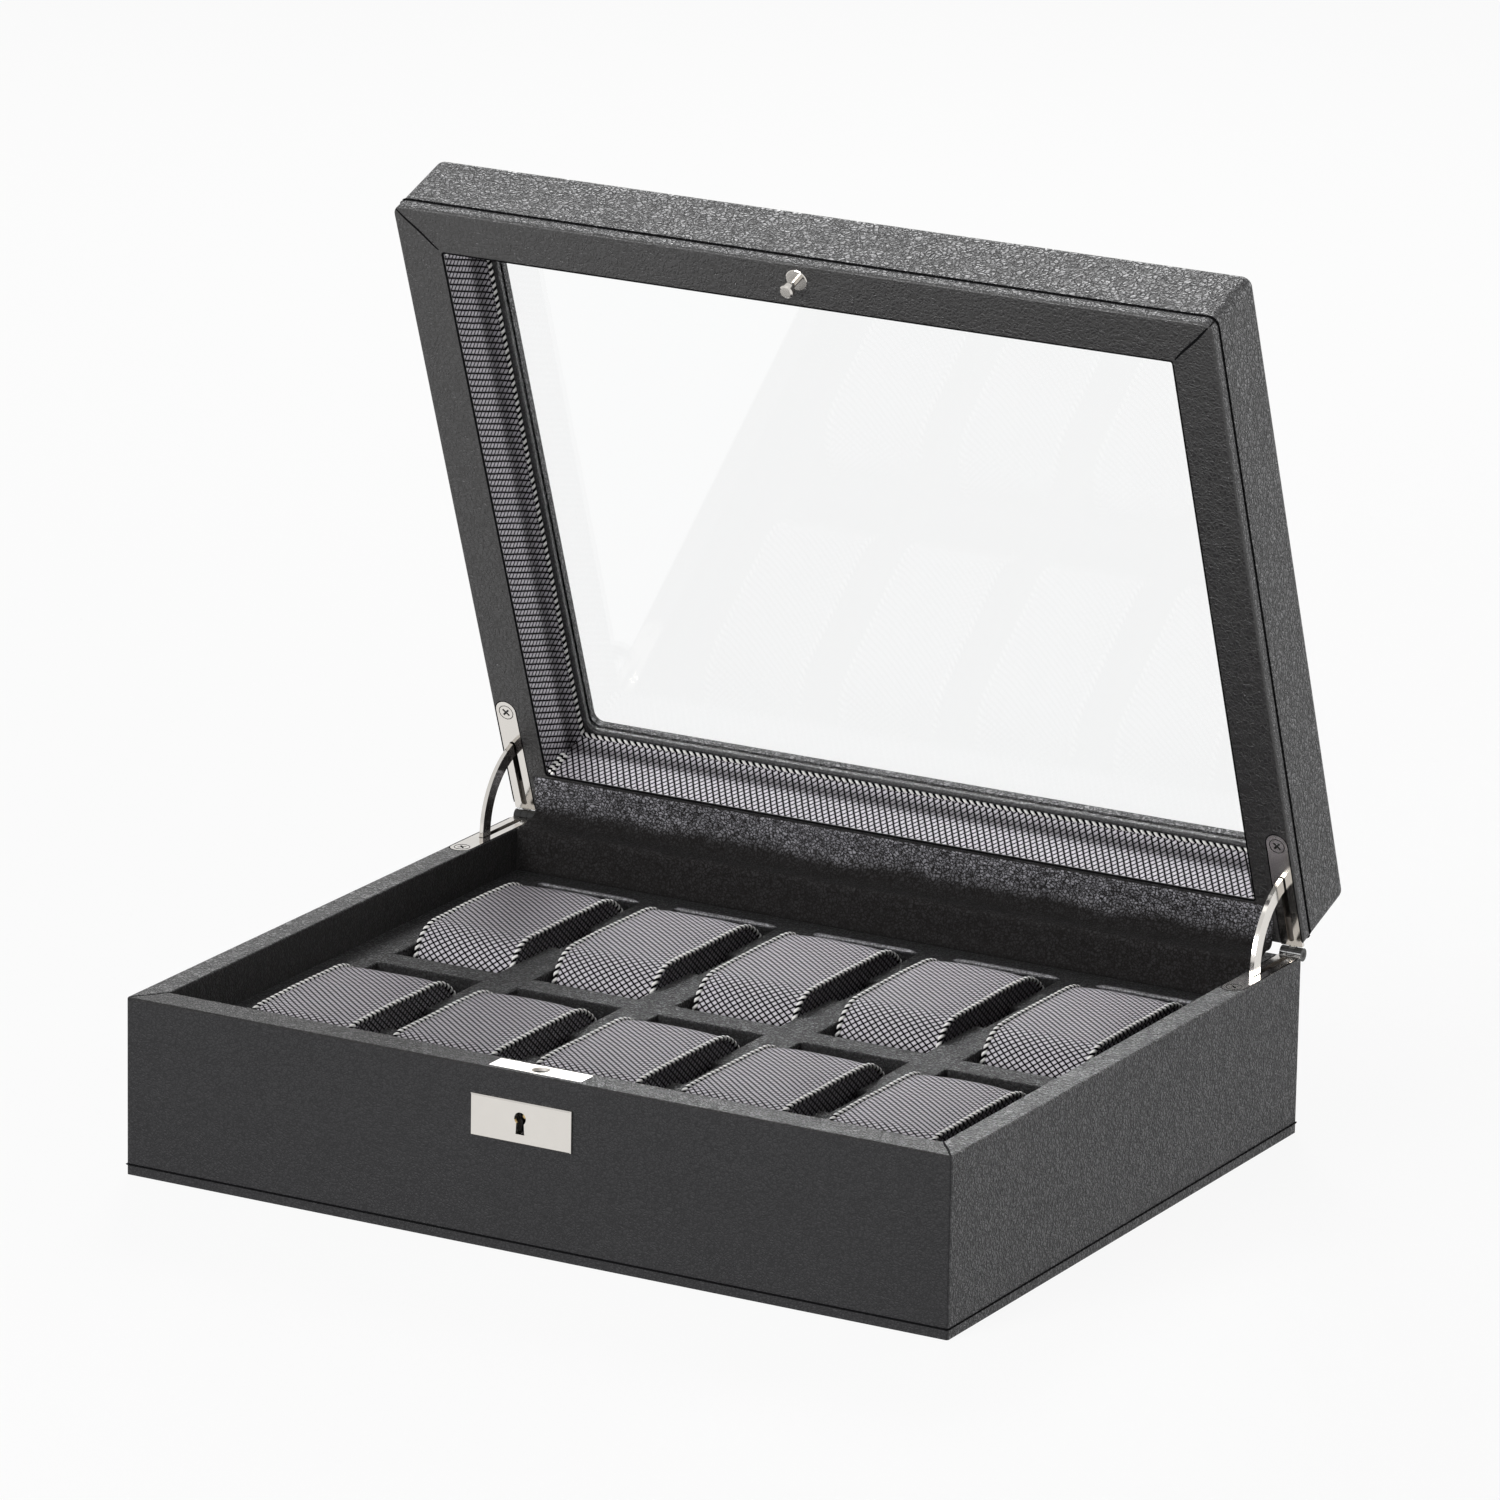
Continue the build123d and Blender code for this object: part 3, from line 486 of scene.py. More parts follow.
def cord_tree():
    """Two strands twisted round a path, one light and one dark."""
    tree = Tree("twisted cord", ("Light radius", "Dark radius", "Lay radius", "Turn length", "Step"),
                ("Light thread", "Dark thread"))
    given = tree.given
    curve = tree.node("GeometryNodeMeshToCurve", Mesh=given["Geometry"])["Curve"]
    even = tree.node("GeometryNodeResampleCurve", {"mode": "LENGTH"}, Curve=curve, Length=given["Step"])["Curve"]
    normal = tree.node("GeometryNodeInputNormal")[0]
    aside = tree.vector("CROSS_PRODUCT", tree.node("GeometryNodeInputTangent")[0], normal)
    along = tree.node("GeometryNodeSplineParameter")["Length"]
    turn = tree.maths("MULTIPLY", tree.maths("DIVIDE", along, given["Turn length"]), 2.0 * math.pi)
    joined = tree.group.nodes.new("GeometryNodeJoinGeometry")
    for phase, shade in ((0.0, "Light"), (math.pi, "Dark")):
        angle = tree.maths("ADD", turn, phase)
        ring = tree.node("GeometryNodeCurvePrimitiveCircle", {"mode": "RADIUS"}, Resolution=6,
                         Radius=given[shade + " radius"])["Curve"]
        out = tree.vector("SCALE", normal, Scale=tree.maths("COSINE", angle))
        side = tree.vector("SCALE", aside, Scale=tree.maths("SINE", angle))
        shift = tree.vector("SCALE", tree.vector("ADD", out, side), Scale=given["Lay radius"])
        moved = tree.node("GeometryNodeSetPosition", Geometry=even, Offset=shift)["Geometry"]
        strand = tree.node("GeometryNodeCurveToMesh", Curve=moved, Profile_Curve=ring, Fill_Caps=True)["Mesh"]
        tree.group.links.new(tree.dressed(strand, shade + " thread"), joined.inputs["Geometry"])
    return tree.finish(joined.outputs["Geometry"])


def cord_sizes(settings):
    """The piping's inputs."""
    return {
        "Light radius": settings.strand_radius, "Dark radius": settings.strand_radius * 0.8,
        "Lay radius": settings.strand_radius * 0.8, "Turn length": settings.turn_length,
        "Step": settings.turn_length / 8, "Light thread": material("pale thread"),
        "Dark thread": material("black thread")}


def stitch_tree():
    """Short rounded stitches laid end to end along a path."""
    tree = Tree("row of stitches", ("Pitch", "Length", "Thickness"), ("Thread",))
    given = tree.given
    curve = tree.node("GeometryNodeMeshToCurve", Mesh=given["Geometry"])["Curve"]
    points = tree.node("GeometryNodeCurveToPoints", {"mode": "LENGTH"}, Curve=curve, Length=given["Pitch"])
    bead = tree.node("GeometryNodeMeshUVSphere", Segments=8, Rings=5, Radius=0.5)["Mesh"]
    turned = tree.node("FunctionNodeAlignRotationToVector", {"axis": "X"}, Vector=points["Tangent"])["Rotation"]
    size = tree.node("ShaderNodeCombineXYZ", None, given["Length"], given["Thickness"], given["Thickness"])[0]
    rows = tree.node("GeometryNodeInstanceOnPoints", Points=points["Points"], Instance=bead, Rotation=turned,
                     Scale=size)["Instances"]
    return tree.finish(tree.dressed(rows, "Thread"))


# meshes


def new_object(name, vertices, faces=(), edges=(), materials=()):
    """A mesh object at the origin, from points in metres."""
    mesh = bpy.data.meshes.new(name)
    mesh.from_pydata(vertices, edges, faces)
    mesh.update()
    for finish in materials:
        mesh.materials.append(finish)
    return place_mesh(name, mesh)


def place_mesh(name, mesh):
    obj = bpy.data.objects.new(name, mesh)
    bpy.context.scene.collection.objects.link(obj)
    return obj


def add_row(vertices, points):
    """Add a row of points to a mesh under construction, and give back their numbers."""
    first = len(vertices)
    vertices.extend(points)
    return list(range(first, len(vertices)))


def bridged(rows, wrap=True, loop=False):
    """Faces between rows of vertex numbers. wrap joins each row's ends, and loop joins the last row to the first."""
    faces = []
    for low, high in zip(rows, rows[1:] + rows[:1] if loop else rows[1:]):
        for k in range(len(low) if wrap else len(low) - 1):
            after = (k + 1) % len(low)
            faces.append((low[k], low[after], high[after], high[k]))
    return faces


def capped(rings):
    """Faces of a tube through rings of vertex numbers, closed at both ends."""
    return bridged(rings) + [tuple(rings[0]), tuple(reversed(rings[-1]))]


def outward(obj, smooth=False):
    """Turn every face of a closed piece outwards."""
    work = bmesh.new()
    work.from_mesh(obj.data)
    bmesh.ops.recalc_face_normals(work, faces=work.faces)
    work.to_mesh(obj.data)
    work.free()
    obj.data.polygons.foreach_set("use_smooth", [smooth] * len(obj.data.polygons))


def lay_flat(obj, flat):
    """Give a woven piece its places on the flat cloth, in mm, as its UV map."""
    layer = obj.data.uv_layers.new(name="cloth")
    for loop in obj.data.loops:
        layer.data[loop.index].uv = flat[loop.vertex_index]


def follow_paths(name, paths, group, inputs):
    """Run a Geometry Nodes tree along paths, each a list of points in metres and whether it closes."""
    points, edges = [], []
    for path, closed in paths:
        row = add_row(points, path)
        edges += zip(row, row[1:] + row[:1] if closed else row[1:])
    guide = new_object(name + "_path", points, edges=edges)
    modifier = guide.modifiers.new("along", "NODES")
    modifier.node_group = group
    sockets = {item.name: item.identifier for item in group.interface.items_tree if item.in_out == "INPUT"}
    for title, value in inputs.items():
        modifier[sockets[title]] = value
    guide.update_tag()
    bpy.context.view_layer.update()
    mesh = bpy.data.meshes.new_from_object(guide.evaluated_get(bpy.context.evaluated_depsgraph_get()))
    guide_mesh = guide.data
    bpy.data.objects.remove(guide)
    bpy.data.meshes.remove(guide_mesh)
    if not mesh.polygons:
        raise RuntimeError(f"{name} came out empty")
    mesh.name = name
    mesh.polygons.foreach_set("use_smooth", [True] * len(mesh.polygons))
    return place_mesh(name, mesh)


def rounded_loop(half_x, half_y, radius, steps=6):
    """Corners of a rounded rectangle, anticlockwise from above, in mm."""
    loop = []
    for sx, sy, start in ((1, 1, 0), (-1, 1, 90), (-1, -1, 180), (1, -1, 270)):
        for step in range(steps + 1):
            angle = math.radians(start + 90 * step / steps)
            x, y = sx * (half_x - radius), sy * (half_y - radius)
            loop.append((x + radius * math.cos(angle), y + radius * math.sin(angle)))
    return loop


def round_profile(centre_out, centre_height, wide, high, count=12):
    """Points of an oval section."""
    turns = [2 * math.pi * k / count for k in range(count)]
    return [(centre_out + wide * math.cos(t), centre_height + high * math.sin(t)) for t in turns]


def swept_ring(name, half_x, half_y, corner, profile, place, finish, steps=8, pleats=0.0):
    """A closed profile of (outward, height) points in mm swept round a rounded rectangle, pleated at its corners."""
    vertices, rings = [], []
    for i, (x, y) in enumerate(rounded_loop(half_x, half_y, corner, steps)):
        quarter, step = divmod(i, steps + 1)
        angle = math.radians(90 * quarter + 90 * step / steps)
        fold = 1 - pleats * (i % 2) * (0 < step < steps)
        out_x, out_y = math.cos(angle) * fold, math.sin(angle) * fold
        rings.append(add_row(vertices, [place(x + out_x * out, y + out_y * out, height) for out, height in profile]))
    ring = new_object(name, vertices, bridged(rings, loop=True), materials=[finish])
    outward(ring, smooth=True)
    return ring


# settings


class WATCHBOX_PG_settings(bpy.types.PropertyGroup):
    leather_colour: bpy.props.FloatVectorProperty(
        name="Leather", description="Colour of the outer leather's grains", default=(0.062, 0.061, 0.066),
        subtype="COLOR", size=3)
    # the colour of the leather's creases is painted shade
    crease_shade_colour: bpy.props.FloatVectorProperty(
        name="Creases", description="Colour between the leather's grains", default=(0.004, 0.0038, 0.004),
        subtype="COLOR", size=3)
    inner_colour: bpy.props.FloatVectorProperty(
        name="Suede", description="Colour of the tray's suede", default=(0.016, 0.016, 0.017),
        subtype="COLOR", size=3)
    thread_colour: bpy.props.FloatVectorProperty(
        name="Weave", description="Colour of the weave's pale threads", default=(0.52, 0.495, 0.535),
        subtype="COLOR", size=3)
    line_colour: bpy.props.FloatVectorProperty(
        name="Weave lines", description="Colour of the weave's dark lines", default=(0.003, 0.0025, 0.0032),
        subtype="COLOR", size=3)
    piping_colour: bpy.props.FloatVectorProperty(
        name="Piping", description="Colour of the pale strand of the piping", default=(0.86, 0.85, 0.83),
        subtype="COLOR", size=3)
    nickel_colour: bpy.props.FloatVectorProperty(
        name="Nickel", description="Colour of the plated metal", default=(0.74, 0.71, 0.67), subtype="COLOR", size=3)
    pebble_size: bpy.props.FloatProperty(
        name="Pebble", description="Width of one grain of the leather", default=0.0022, unit="LENGTH", precision=4)
    diamond_across: bpy.props.FloatProperty(
        name="Diamond width", description="Width of one diamond of the cushions' weave in mm", default=3.2)
    diamond_along: bpy.props.FloatProperty(
        name="Diamond height", description="Height of one diamond of the cushions' weave in mm", default=2.55)
    lining_across: bpy.props.FloatProperty(
        name="Lining width", description="Width of one diamond along the lid's lining in mm", default=2.8)
    lining_along: bpy.props.FloatProperty(
        name="Lining depth", description="Length of one diamond across the lid's lining in mm", default=4.4)
    stitch_pitch: bpy.props.FloatProperty(
        name="Stitch pitch", description="Distance from stitch to stitch", default=0.0031, unit="LENGTH", precision=4)
    stitch_length: bpy.props.FloatProperty(
        name="Stitch length", description="Length of one stitch", default=0.0027, unit="LENGTH", precision=4)
    stitch_thickness: bpy.props.FloatProperty(
        name="Thread", description="Thickness of the sewing thread", default=0.0007, unit="LENGTH", precision=5)
    strand_radius: bpy.props.FloatProperty(
        name="Strand", description="Radius of the piping's pale strand", default=0.0006, unit="LENGTH", precision=5)
    turn_length: bpy.props.FloatProperty(
        name="Twist", description="Length of one turn of the piping", default=0.0029, unit="LENGTH", precision=4)
    lens: bpy.props.FloatProperty(name="Lens", description="Focal length of the camera in mm", default=240.0)
    lamp_power: bpy.props.FloatProperty(name="Lamps", description="Strength of all the lamps", default=1.0, min=0.0)


def recipes(settings):
    """How each finish of this box is made: the function, and what it takes after the name."""
    leather, crease = settings.leather_colour[:], settings.crease_shade_colour[:]
    warm_crease = (crease[0], crease[1] * 0.8, crease[2] * 0.72)
    suede, pebble = settings.inner_colour[:], settings.pebble_size
    thread, lines = settings.thread_colour[:], settings.line_colour[:]
    diamond = (settings.diamond_across, settings.diamond_along)
    lining_diamond = (settings.lining_across, settings.lining_along)
    nickel = settings.nickel_colour[:]
    return {
        # ridge and crease colours, pebble, depth, roughness, highlight, wrinkle and wear
        # the lid's walls take a lighter copy of the base leather: painted light
        "wall leather": (grained_leather, scaled(leather, 1.1), crease, pebble * 0.9, 1.0, 0.43, 0.85, 0.6),
        # the base's front takes a much darker copy of the base leather: painted shade
        "front leather": (
            grained_leather, scaled(leather, 0.28), scaled(leather, 0.19), pebble * 0.6, 0.4, 0.5, 0.27, 0.3,
            base_painted_shade),
        "base leather": (
            grained_leather, scaled(leather, 0.95), scaled(leather, 0.35), pebble * 0.75, 0.9, 0.4, 0.5, 0.7,
            base_painted_shade),
        "rim leather": (
            grained_leather, scaled(leather, 1.3), crease, pebble * 0.8, 0.9, 0.38, 0.85, 0.4, rim_painted_shade),
        "bead leather": (grained_leather, scaled(leather, 0.35), crease, pebble * 0.7, 0.4, 0.4, 0.5, 0.3),
        # the strip's grains are painted pale as the light on the band over the lid's rail, and painted shade darkens
        # it lower down
        "strip leather": (
            grained_leather, scaled(leather, 4.8), warm_crease, pebble * 0.62, 1.0, 0.42, 0.28, 0.5, strip_painted_shade),
        # the pale rolls behind the back row are painted highlights for the lit edges of the cells
        "roll leather": (grained_leather, scaled(leather, 3.5), crease, pebble * 0.6, 0.3, 0.25, 0.9, 0.3),
        "tray leather": (grained_leather, suede, crease, pebble * 0.7, 0.8, 0.55, 0.35, 0.4),
        "tray suede": (brushed_suede, suede),
        "felt": (brushed_suede, scaled(suede, 0.6)),
        # pale and dark colours, the diamond's size, the seam's painted shadow and the fold's painted shade
        "lining weave": (diamond_weave, thread, lines, *lining_diamond, None, LINING_SHADED_FOLD),
        "cushion weave": (diamond_weave, thread, lines, *diamond, WRAP_HALF),
        # the cushions' sides take a darker copy of the weave: painted shade
        "side weave": (diamond_weave, scaled(thread, 0.5), lines, *diamond),
        # colour, roughness, then highlight or wear, and what is dark
        "pale thread": (twisted_thread, settings.piping_colour[:], 0.4, 0.5),
        "black thread": (twisted_thread, BLACK_THREAD, 0.9, 0.05),
        "nickel": (polished_nickel, nickel, 0.08, 0.1),
        "base leaf": (polished_nickel, nickel, 0.08, 0.1, base_knuckle),
        "lid leaf": (polished_nickel, nickel, 0.08, 0.1, lid_knuckle),
        # the strike plate takes a brighter copy of the nickel: painted light
        "strike": (polished_nickel, [min(1.0, c) for c in scaled(nickel, 1.3)], 0.45, 0.1),
        "black oxide": (polished_nickel, (0.02, 0.019, 0.018), 0.35, 0.15),
        "base screw": (polished_nickel, nickel, 0.1, 0.1, base_recess),
        "lid screw": (polished_nickel, nickel, 0.1, 0.1, lid_recess),
        "steel": (polished_nickel, (0.5, 0.5, 0.51), 0.3, 0.15),
        "brass": (polished_nickel, (0.75, 0.56, 0.28), 0.25, 0.1),
        "glass": (clear_glass,),
        "board": (pressed_board, (0.06, 0.052, 0.045)),
    }


MATERIALS = {}


def material(name):
    """A finish of this box, made once."""
    if name not in MATERIALS:
        maker, *values = recipes(bpy.context.scene.watch_box)[name]
        MATERIALS[name] = maker(name, *values)
    return MATERIALS[name]


def dress(node, name):
    """Give every slot of a CAD node one finish."""
    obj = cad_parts[node]
    if not obj.material_slots:
        obj.data.materials.append(material(name))
    for place in obj.material_slots:
        place.material = material(name)


# operators


class WATCHBOX_OT_hard_pieces(bpy.types.Operator):
    """Give the boards, leather, metal, glass and felt of the frame their finishes"""

    bl_idname = "watch_box.hard_pieces"
    bl_label = "Hard pieces"

    def execute(self, context):
        finishes = {
            "board": [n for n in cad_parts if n.endswith("_board") or n.endswith("_rail")]
            + ["lid_top_frame", "tray_centre_bar", "tray_end_bars", "tray_dividers", "tray_side_bars"],
            "wall leather": ["lid_wall_leather"],
            "base leather": ["base_left_leather", "base_right_leather", "base_back_leather"],
            "front leather": ["base_front_leather"],
            "rim leather": [f"lid_{side}_rim_leather" for side in SIDES],
            "bead leather": ["glass_retaining_frame"],
            "tray leather": ["tray_leather"],
            "tray suede": ["cell_floor_pads"],
            "felt": ["bottom_felt"],
            "nickel": ["lock_plate", "catch_stud", "stay_left", "stay_right"],
            "strike": ["strike_plate"],
            "base leaf": ["base_leaf_left", "base_leaf_right"],
            "lid leaf": ["lid_leaf_left", "lid_leaf_right"],
            "black oxide": ["hinge_pin_left", "hinge_pin_right"],
            "base screw": ["base_hinge_screws"],
            "lid screw": ["lid_hinge_screws"],
            "steel": ["lock_case", "lock_bolt"],
            "brass": ["key_post"],
            "glass": ["lid_glass"],
        }
        for finish, nodes in finishes.items():
            for node in nodes:
                dress(node, finish)
        return {"FINISHED"}


def cushion_outline(swell, count=110):
    """Points of a cushion's outline over its length, bottom front to bottom back, evenly spaced, in mm."""
    half, top = CUSHION_LENGTH / 2 + swell, CUSHION_HEIGHT + swell
    front, back = FRONT_ROUND + swell, BACK_ROUND + swell
    start, end = -half + front, half - back
    quarter = [(math.sin(math.radians(a)), math.cos(math.radians(a))) for a in range(0, 91, 5)]
    raw = [(-half + swell, 0.0)]
    raw += [(start - front * cosine, top - front + front * sine) for sine, cosine in quarter]
    raw += [(start + (end - start) * t / 24, top + swell / 2 * math.sin(math.pi * t / 24)) for t in range(1, 24)]
    raw += [(end + back * sine, top - back + back * cosine) for sine, cosine in quarter]
    raw.append((half - swell, 0.0))
    lengths = [0.0]
    for a, b in zip(raw, raw[1:]):
        lengths.append(lengths[-1] + math.dist(a, b))
    even, i = [], 0
    for k in range(count):
        want = lengths[-1] * k / (count - 1)
        while i < len(raw) - 2 and lengths[i + 1] < want:
            i += 1
        share = (want - lengths[i]) / (lengths[i + 1] - lengths[i])
        even.append(tuple(raw[i][c] + (raw[i + 1][c] - raw[i][c]) * share for c in (0, 1)))
    return even, lengths[-1]


class WATCHBOX_OT_cushions(bpy.types.Operator):
    """Make the ten cushions, each a crowned woven pad with drawn-in sides and twisted piping on both seams"""

    bl_idname = "watch_box.cushions"
    bl_label = "Cushions"

    def execute(self, context):
        settings = context.scene.watch_box
        cord = cord_tree()
        for row, sign in ROWS:
            for column in range(CELL_COUNT):
                self.make(f"cushion_{row}_{column + 1}", (column - 2) * CELL_PITCH, sign * CUSHION_Y, cord, settings)
        return {"FINISHED"}

    def make(self, node, centre_x, centre_y, cord, settings):
        """One cushion: its woven wrap, its flat base, its two drawn-in sides and the piping on its seams."""
        draw = random.Random(node)
        seed = Vector((draw.uniform(0, 90), draw.uniform(0, 90), draw.uniform(0, 90)))
        across = 26
        vertices, flat, columns, base = [], [], [], []

        def at(x, y, z):
            return in_metres(centre_x + x, centre_y + y, CUSHION_Z + z)

        def on_wrap(x, y, z):
            """A point of the wrap, where the filling's lumps lift it."""
            lump = noise.noise(Vector((x, y, z)) * 0.045 + seed) * 0.35
            return at(x, y, z + lump * min(1.0, z / 20))

        shares = [2 * i / across - 1 for i in range(across + 1)]
        for share in shares:
            outline, length = cushion_outline(SWELL * (0.3 + 0.7 * (1 - abs(share) ** 3)))
            columns.append(add_row(vertices, [on_wrap(WRAP_HALF * share, y, z) for y, z in outline]))
            flat += [(WRAP_HALF * share, length * k / (len(outline) - 1)) for k in range(len(outline))]
        seam, _ = cushion_outline(SWELL * 0.3)
        start, end = seam[0][0], seam[-1][0]
        depths = [start + (end - start) * t / (len(seam) - 1) for t in range(len(seam))]
        for share in shares:
            base.append(add_row(vertices, [at(WRAP_HALF * share, y, 0.0) for y in depths]))
            flat += [(WRAP_HALF * share, -y) for y in depths]
        faces = bridged(columns, wrap=False) + bridged(base[::-1], wrap=False)
        woven = len(faces)
        border = seam + [(end * (1 - 2 * t / 12), 0.0) for t in range(1, 12)]
        for side in (-1, 1):
            wall = self.wall(vertices, flat, border, lambda pull, y, z: at(side * (WRAP_HALF - pull), y, z))
            faces += wall if side < 0 else [face[::-1] for face in wall]
        pad = new_object(node + "_pad", vertices, faces,
                         materials=[material("cushion weave"), material("side weave")])
        pad.data.polygons.foreach_set("material_index", [0] * woven + [1] * (len(faces) - woven))
        lay_flat(pad, flat)
        outward(pad, smooth=True)
        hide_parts(node)
        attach(pad, node)
        paths = [([on_wrap(side * WRAP_HALF, y * 1.002, z + 0.12) for y, z in seam[2:-2]], False) for side in (-1, 1)]
        piping = follow_paths(node + "_piping", paths, cord, cord_sizes(settings))
        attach(piping, node)

    def wall(self, vertices, flat, border, place):
        """Add a side as rings that shrink from its border and are drawn in to a hub, and give back its faces."""
        middle = (0.0, CUSHION_HEIGHT * 0.48)
        rings = []
        for ring in range(SIDE_RINGS + 1):
            keep = 1 - ring / (SIDE_RINGS + 1)
            spots = [tuple(m + (c - m) * keep for c, m in zip(spot, middle)) for spot in border]
            rings.append(add_row(vertices, [place(SIDE_PULL * (1 - keep ** 2), y, z) for y, z in spots]))
            flat += spots
        (hub,) = add_row(vertices, [place(SIDE_PULL, *middle)])
        flat.append(middle)
        last = rings[-1]
        return bridged(rings) + [(a, b, hub) for a, b in zip(last, last[1:] + last[:1])]


class WATCHBOX_OT_lid_lining(bpy.types.Operator):
    """Make the lid's woven lining, which turns in towards the glass, with twisted piping on its edge and corners"""

    bl_idname = "watch_box.lid_lining"
    bl_label = "Lid lining"

    def execute(self, context):
        for side in SIDES:
            self.panel(side)
        inset, depth = LINING_PROFILE[-1]
        stand = inset + PIPING_STAND
        loop = rounded_loop(LINING_X - stand, LINING_Y - stand, 1.2, 3)
        paths = [([open_lid(x, y, LID_FOOT + depth - PIPING_SINK) for x, y in loop], True)]
        for sx in (-1, 1):
            for sy in (-1, 1):
                for beside in CORNER_CORDS:
                    x, y = sx * (LINING_X - 0.25 - beside), sy * (LINING_Y - 1.35 + beside)
                    paths.append(([open_lid(x, y, LID_FOOT + up) for up in CORNER_HEIGHTS], False))
        piping = follow_paths("lid_lining_piping", paths, cord_tree(), cord_sizes(context.scene.watch_box))
        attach(piping, "lid")
        self.bead()
        return {"FINISHED"}

    def bead(self):
        """The padded leather bead round the glass and the black edge where the lining meets the rails."""
        lip = LID_FOOT + LINING_PROFILE[-1][1]
        bead = swept_ring("lid_window_bead", LINING_X - BEAD_INSET, LINING_Y - BEAD_INSET, BEAD_CORNER,
                          round_profile(BEAD_OUT, lip + BEAD_UP, BEAD_WIDE, BEAD_HIGH), open_lid,
                          material("bead leather"), steps=12, pleats=0.2)
        edge = swept_ring("lid_lining_edge", LINING_X, LINING_Y, 1.0, round_profile(0.1, LID_FOOT + 0.2, 0.4, 0.4),
                          open_lid, material("black thread"), steps=3)
        for piece in (bead, edge):
            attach(piece, "lid")

    def panel(self, side):
        """One side's lining: the woven face inside and a plain back against the rail."""
        along_x = side in ("front", "back")
        sign = -1 if side in ("front", "left") else 1
        reach, stand = (LINING_X, LINING_Y) if along_x else (LINING_Y, LINING_X)
        count = 40
        vertices, rows, flat = [], [], []
        travelled, before = 0.0, LINING_PROFILE[0]
        for thickness, profile in ((0.0, LINING_PROFILE), (LINING_THICKNESS, LINING_PROFILE[::-1])):
            for inset, depth in profile:
                if not thickness:
                    travelled += math.dist(before, (inset, depth))
                    before = (inset, depth)
                length, level = reach - inset + thickness, sign * (stand - inset + thickness)
                spots = [length * (2 * i / count - 1) for i in range(count + 1)]
                rows.append(add_row(vertices, [
                    open_lid(*((a, level) if along_x else (level, a)), LID_FOOT + depth) for a in spots]))
                flat += [(a, travelled) for a in spots]
        panel = new_object(f"lid_{side}_woven_lining", vertices, capped(list(zip(*rows))),
                           materials=[material("lining weave")])
        lay_flat(panel, flat)
        outward(panel)
        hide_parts(f"lid_{side}_lining")
        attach(panel, "lid")


class WATCHBOX_OT_stitching(bpy.types.Operator):
    """Sew the black seams round the lid's walls and the foot of the base, draw the dark creases of both rims, and
    paint black shadows round the hinge leaves and their screws
    """

    bl_idname = "watch_box.stitching"
    bl_label = "Stitching"

    def execute(self, context):
        settings = context.scene.watch_box
        group, black = stitch_tree(), material("black thread")
        inputs = {"Pitch": settings.stitch_pitch, "Length": settings.stitch_length,
                  "Thickness": settings.stitch_thickness, "Thread": black}
        for body, corner, level, half_height, place in (
            ("lid", 4.0, LID_SEAM, 0.75, open_lid), ("base", 1.0, BASE_SEAM, 0.4, in_metres),
        ):
            loop = [place(x, y, level) for x, y in rounded_loop(HALF_X + 0.1, HALF_Y + 0.1, corner, 4)]
            stitches = follow_paths(f"{body}_seam_stitches", [(loop, True)], group, inputs)
            groove = swept_ring(f"{body}_seam_groove", HALF_X, HALF_Y, corner,
                                round_profile(0.0, level, GROOVE_OUT, half_height), place, black, steps=4)
            for piece in (stitches, groove):
                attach(piece, body)
        self.creases("lid", *LID_MITRE, LID_FOOT, open_lid)
        self.creases("base", *BASE_MITRE, BASE_RIM, in_metres)
        return {"FINISHED"}

    def creases(self, body, inner, outer, level, place):
        """Dark creases where the leather is mitred in front, and black rings round the leaves and their screws as
        painted shadows of their gaps.
        """
        vertices, faces = [], []
        for sx in (-1, 1):
            crease_line(vertices, faces, (sx * inner[0], -inner[1]), (sx * outer[0], -outer[1]), level, place)
        for hand in (-1, 1):
            centre, half = hand * LEAF_X, LEAF_WIDTH / 2 + 0.1
            turn = [math.radians(180 + 15 * t) for t in range(13)]
            around = [(centre - half, LEAF_END_Y)]
            around += [(centre + half * math.cos(a), LEAF_ROUND_Y + half * math.sin(a)) for a in turn]
            around.append((centre + half, LEAF_END_Y))
            # black rings round each leaf and its screw: painted shadows of the gaps
            dark_line(vertices, faces, around, [LEAF_SHADOW_WIDTH] * len(around), level, place)
            head = round_profile(centre, SCREW_Y, SCREW_RADIUS, SCREW_RADIUS)
            dark_line(vertices, faces, head + head[:1], [SCREW_SHADOW_WIDTH] * (len(head) + 1), level, place)
        crease = new_object(f"{body}_mitre_creases_and_painted_shadows", vertices, faces, materials=[material("black thread")])
        outward(crease)
        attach(crease, body)


def aside(start, end):
    """The direction in a flat face square to the run from start to end."""
    run = (end[0] - start[0], end[1] - start[1])
    length = math.hypot(*run)
    return -run[1] / length, run[0] / length


def crease_line(vertices, faces, start, end, level, place, count=10):
    """Add one slightly wandering dark crease, lying half in a flat face, to a mesh under construction."""
    side = aside(start, end)
    points, widths = [], []
    for i in range(count + 1):
        share = i / count
        wander = 0.12 * math.sin(share * 9.0 + start[0])
        points.append(tuple(start[c] + (end[c] - start[c]) * share + side[c] * wander for c in (0, 1)))
        widths.append(MITRE_GAP * (1 - 0.4 * abs(2 * share - 1) ** 3))
    dark_line(vertices, faces, points, widths, level, place)


def dark_line(vertices, faces, points, widths, level, place):
    """Add a flattened cord along points of a flat face, with a half width for each, to a mesh under construction."""
    rings = []
    for i, ((x, y), wide) in enumerate(zip(points, widths)):
        side = aside(points[max(0, i - 1)], points[min(len(points) - 1, i + 1)])
        section = round_profile(0.0, level, wide, GAP_HEIGHT, 6)
        rings.append(add_row(vertices, [place(x + side[0] * out, y + side[1] * out, z) for out, z in section]))
    faces += capped(rings)


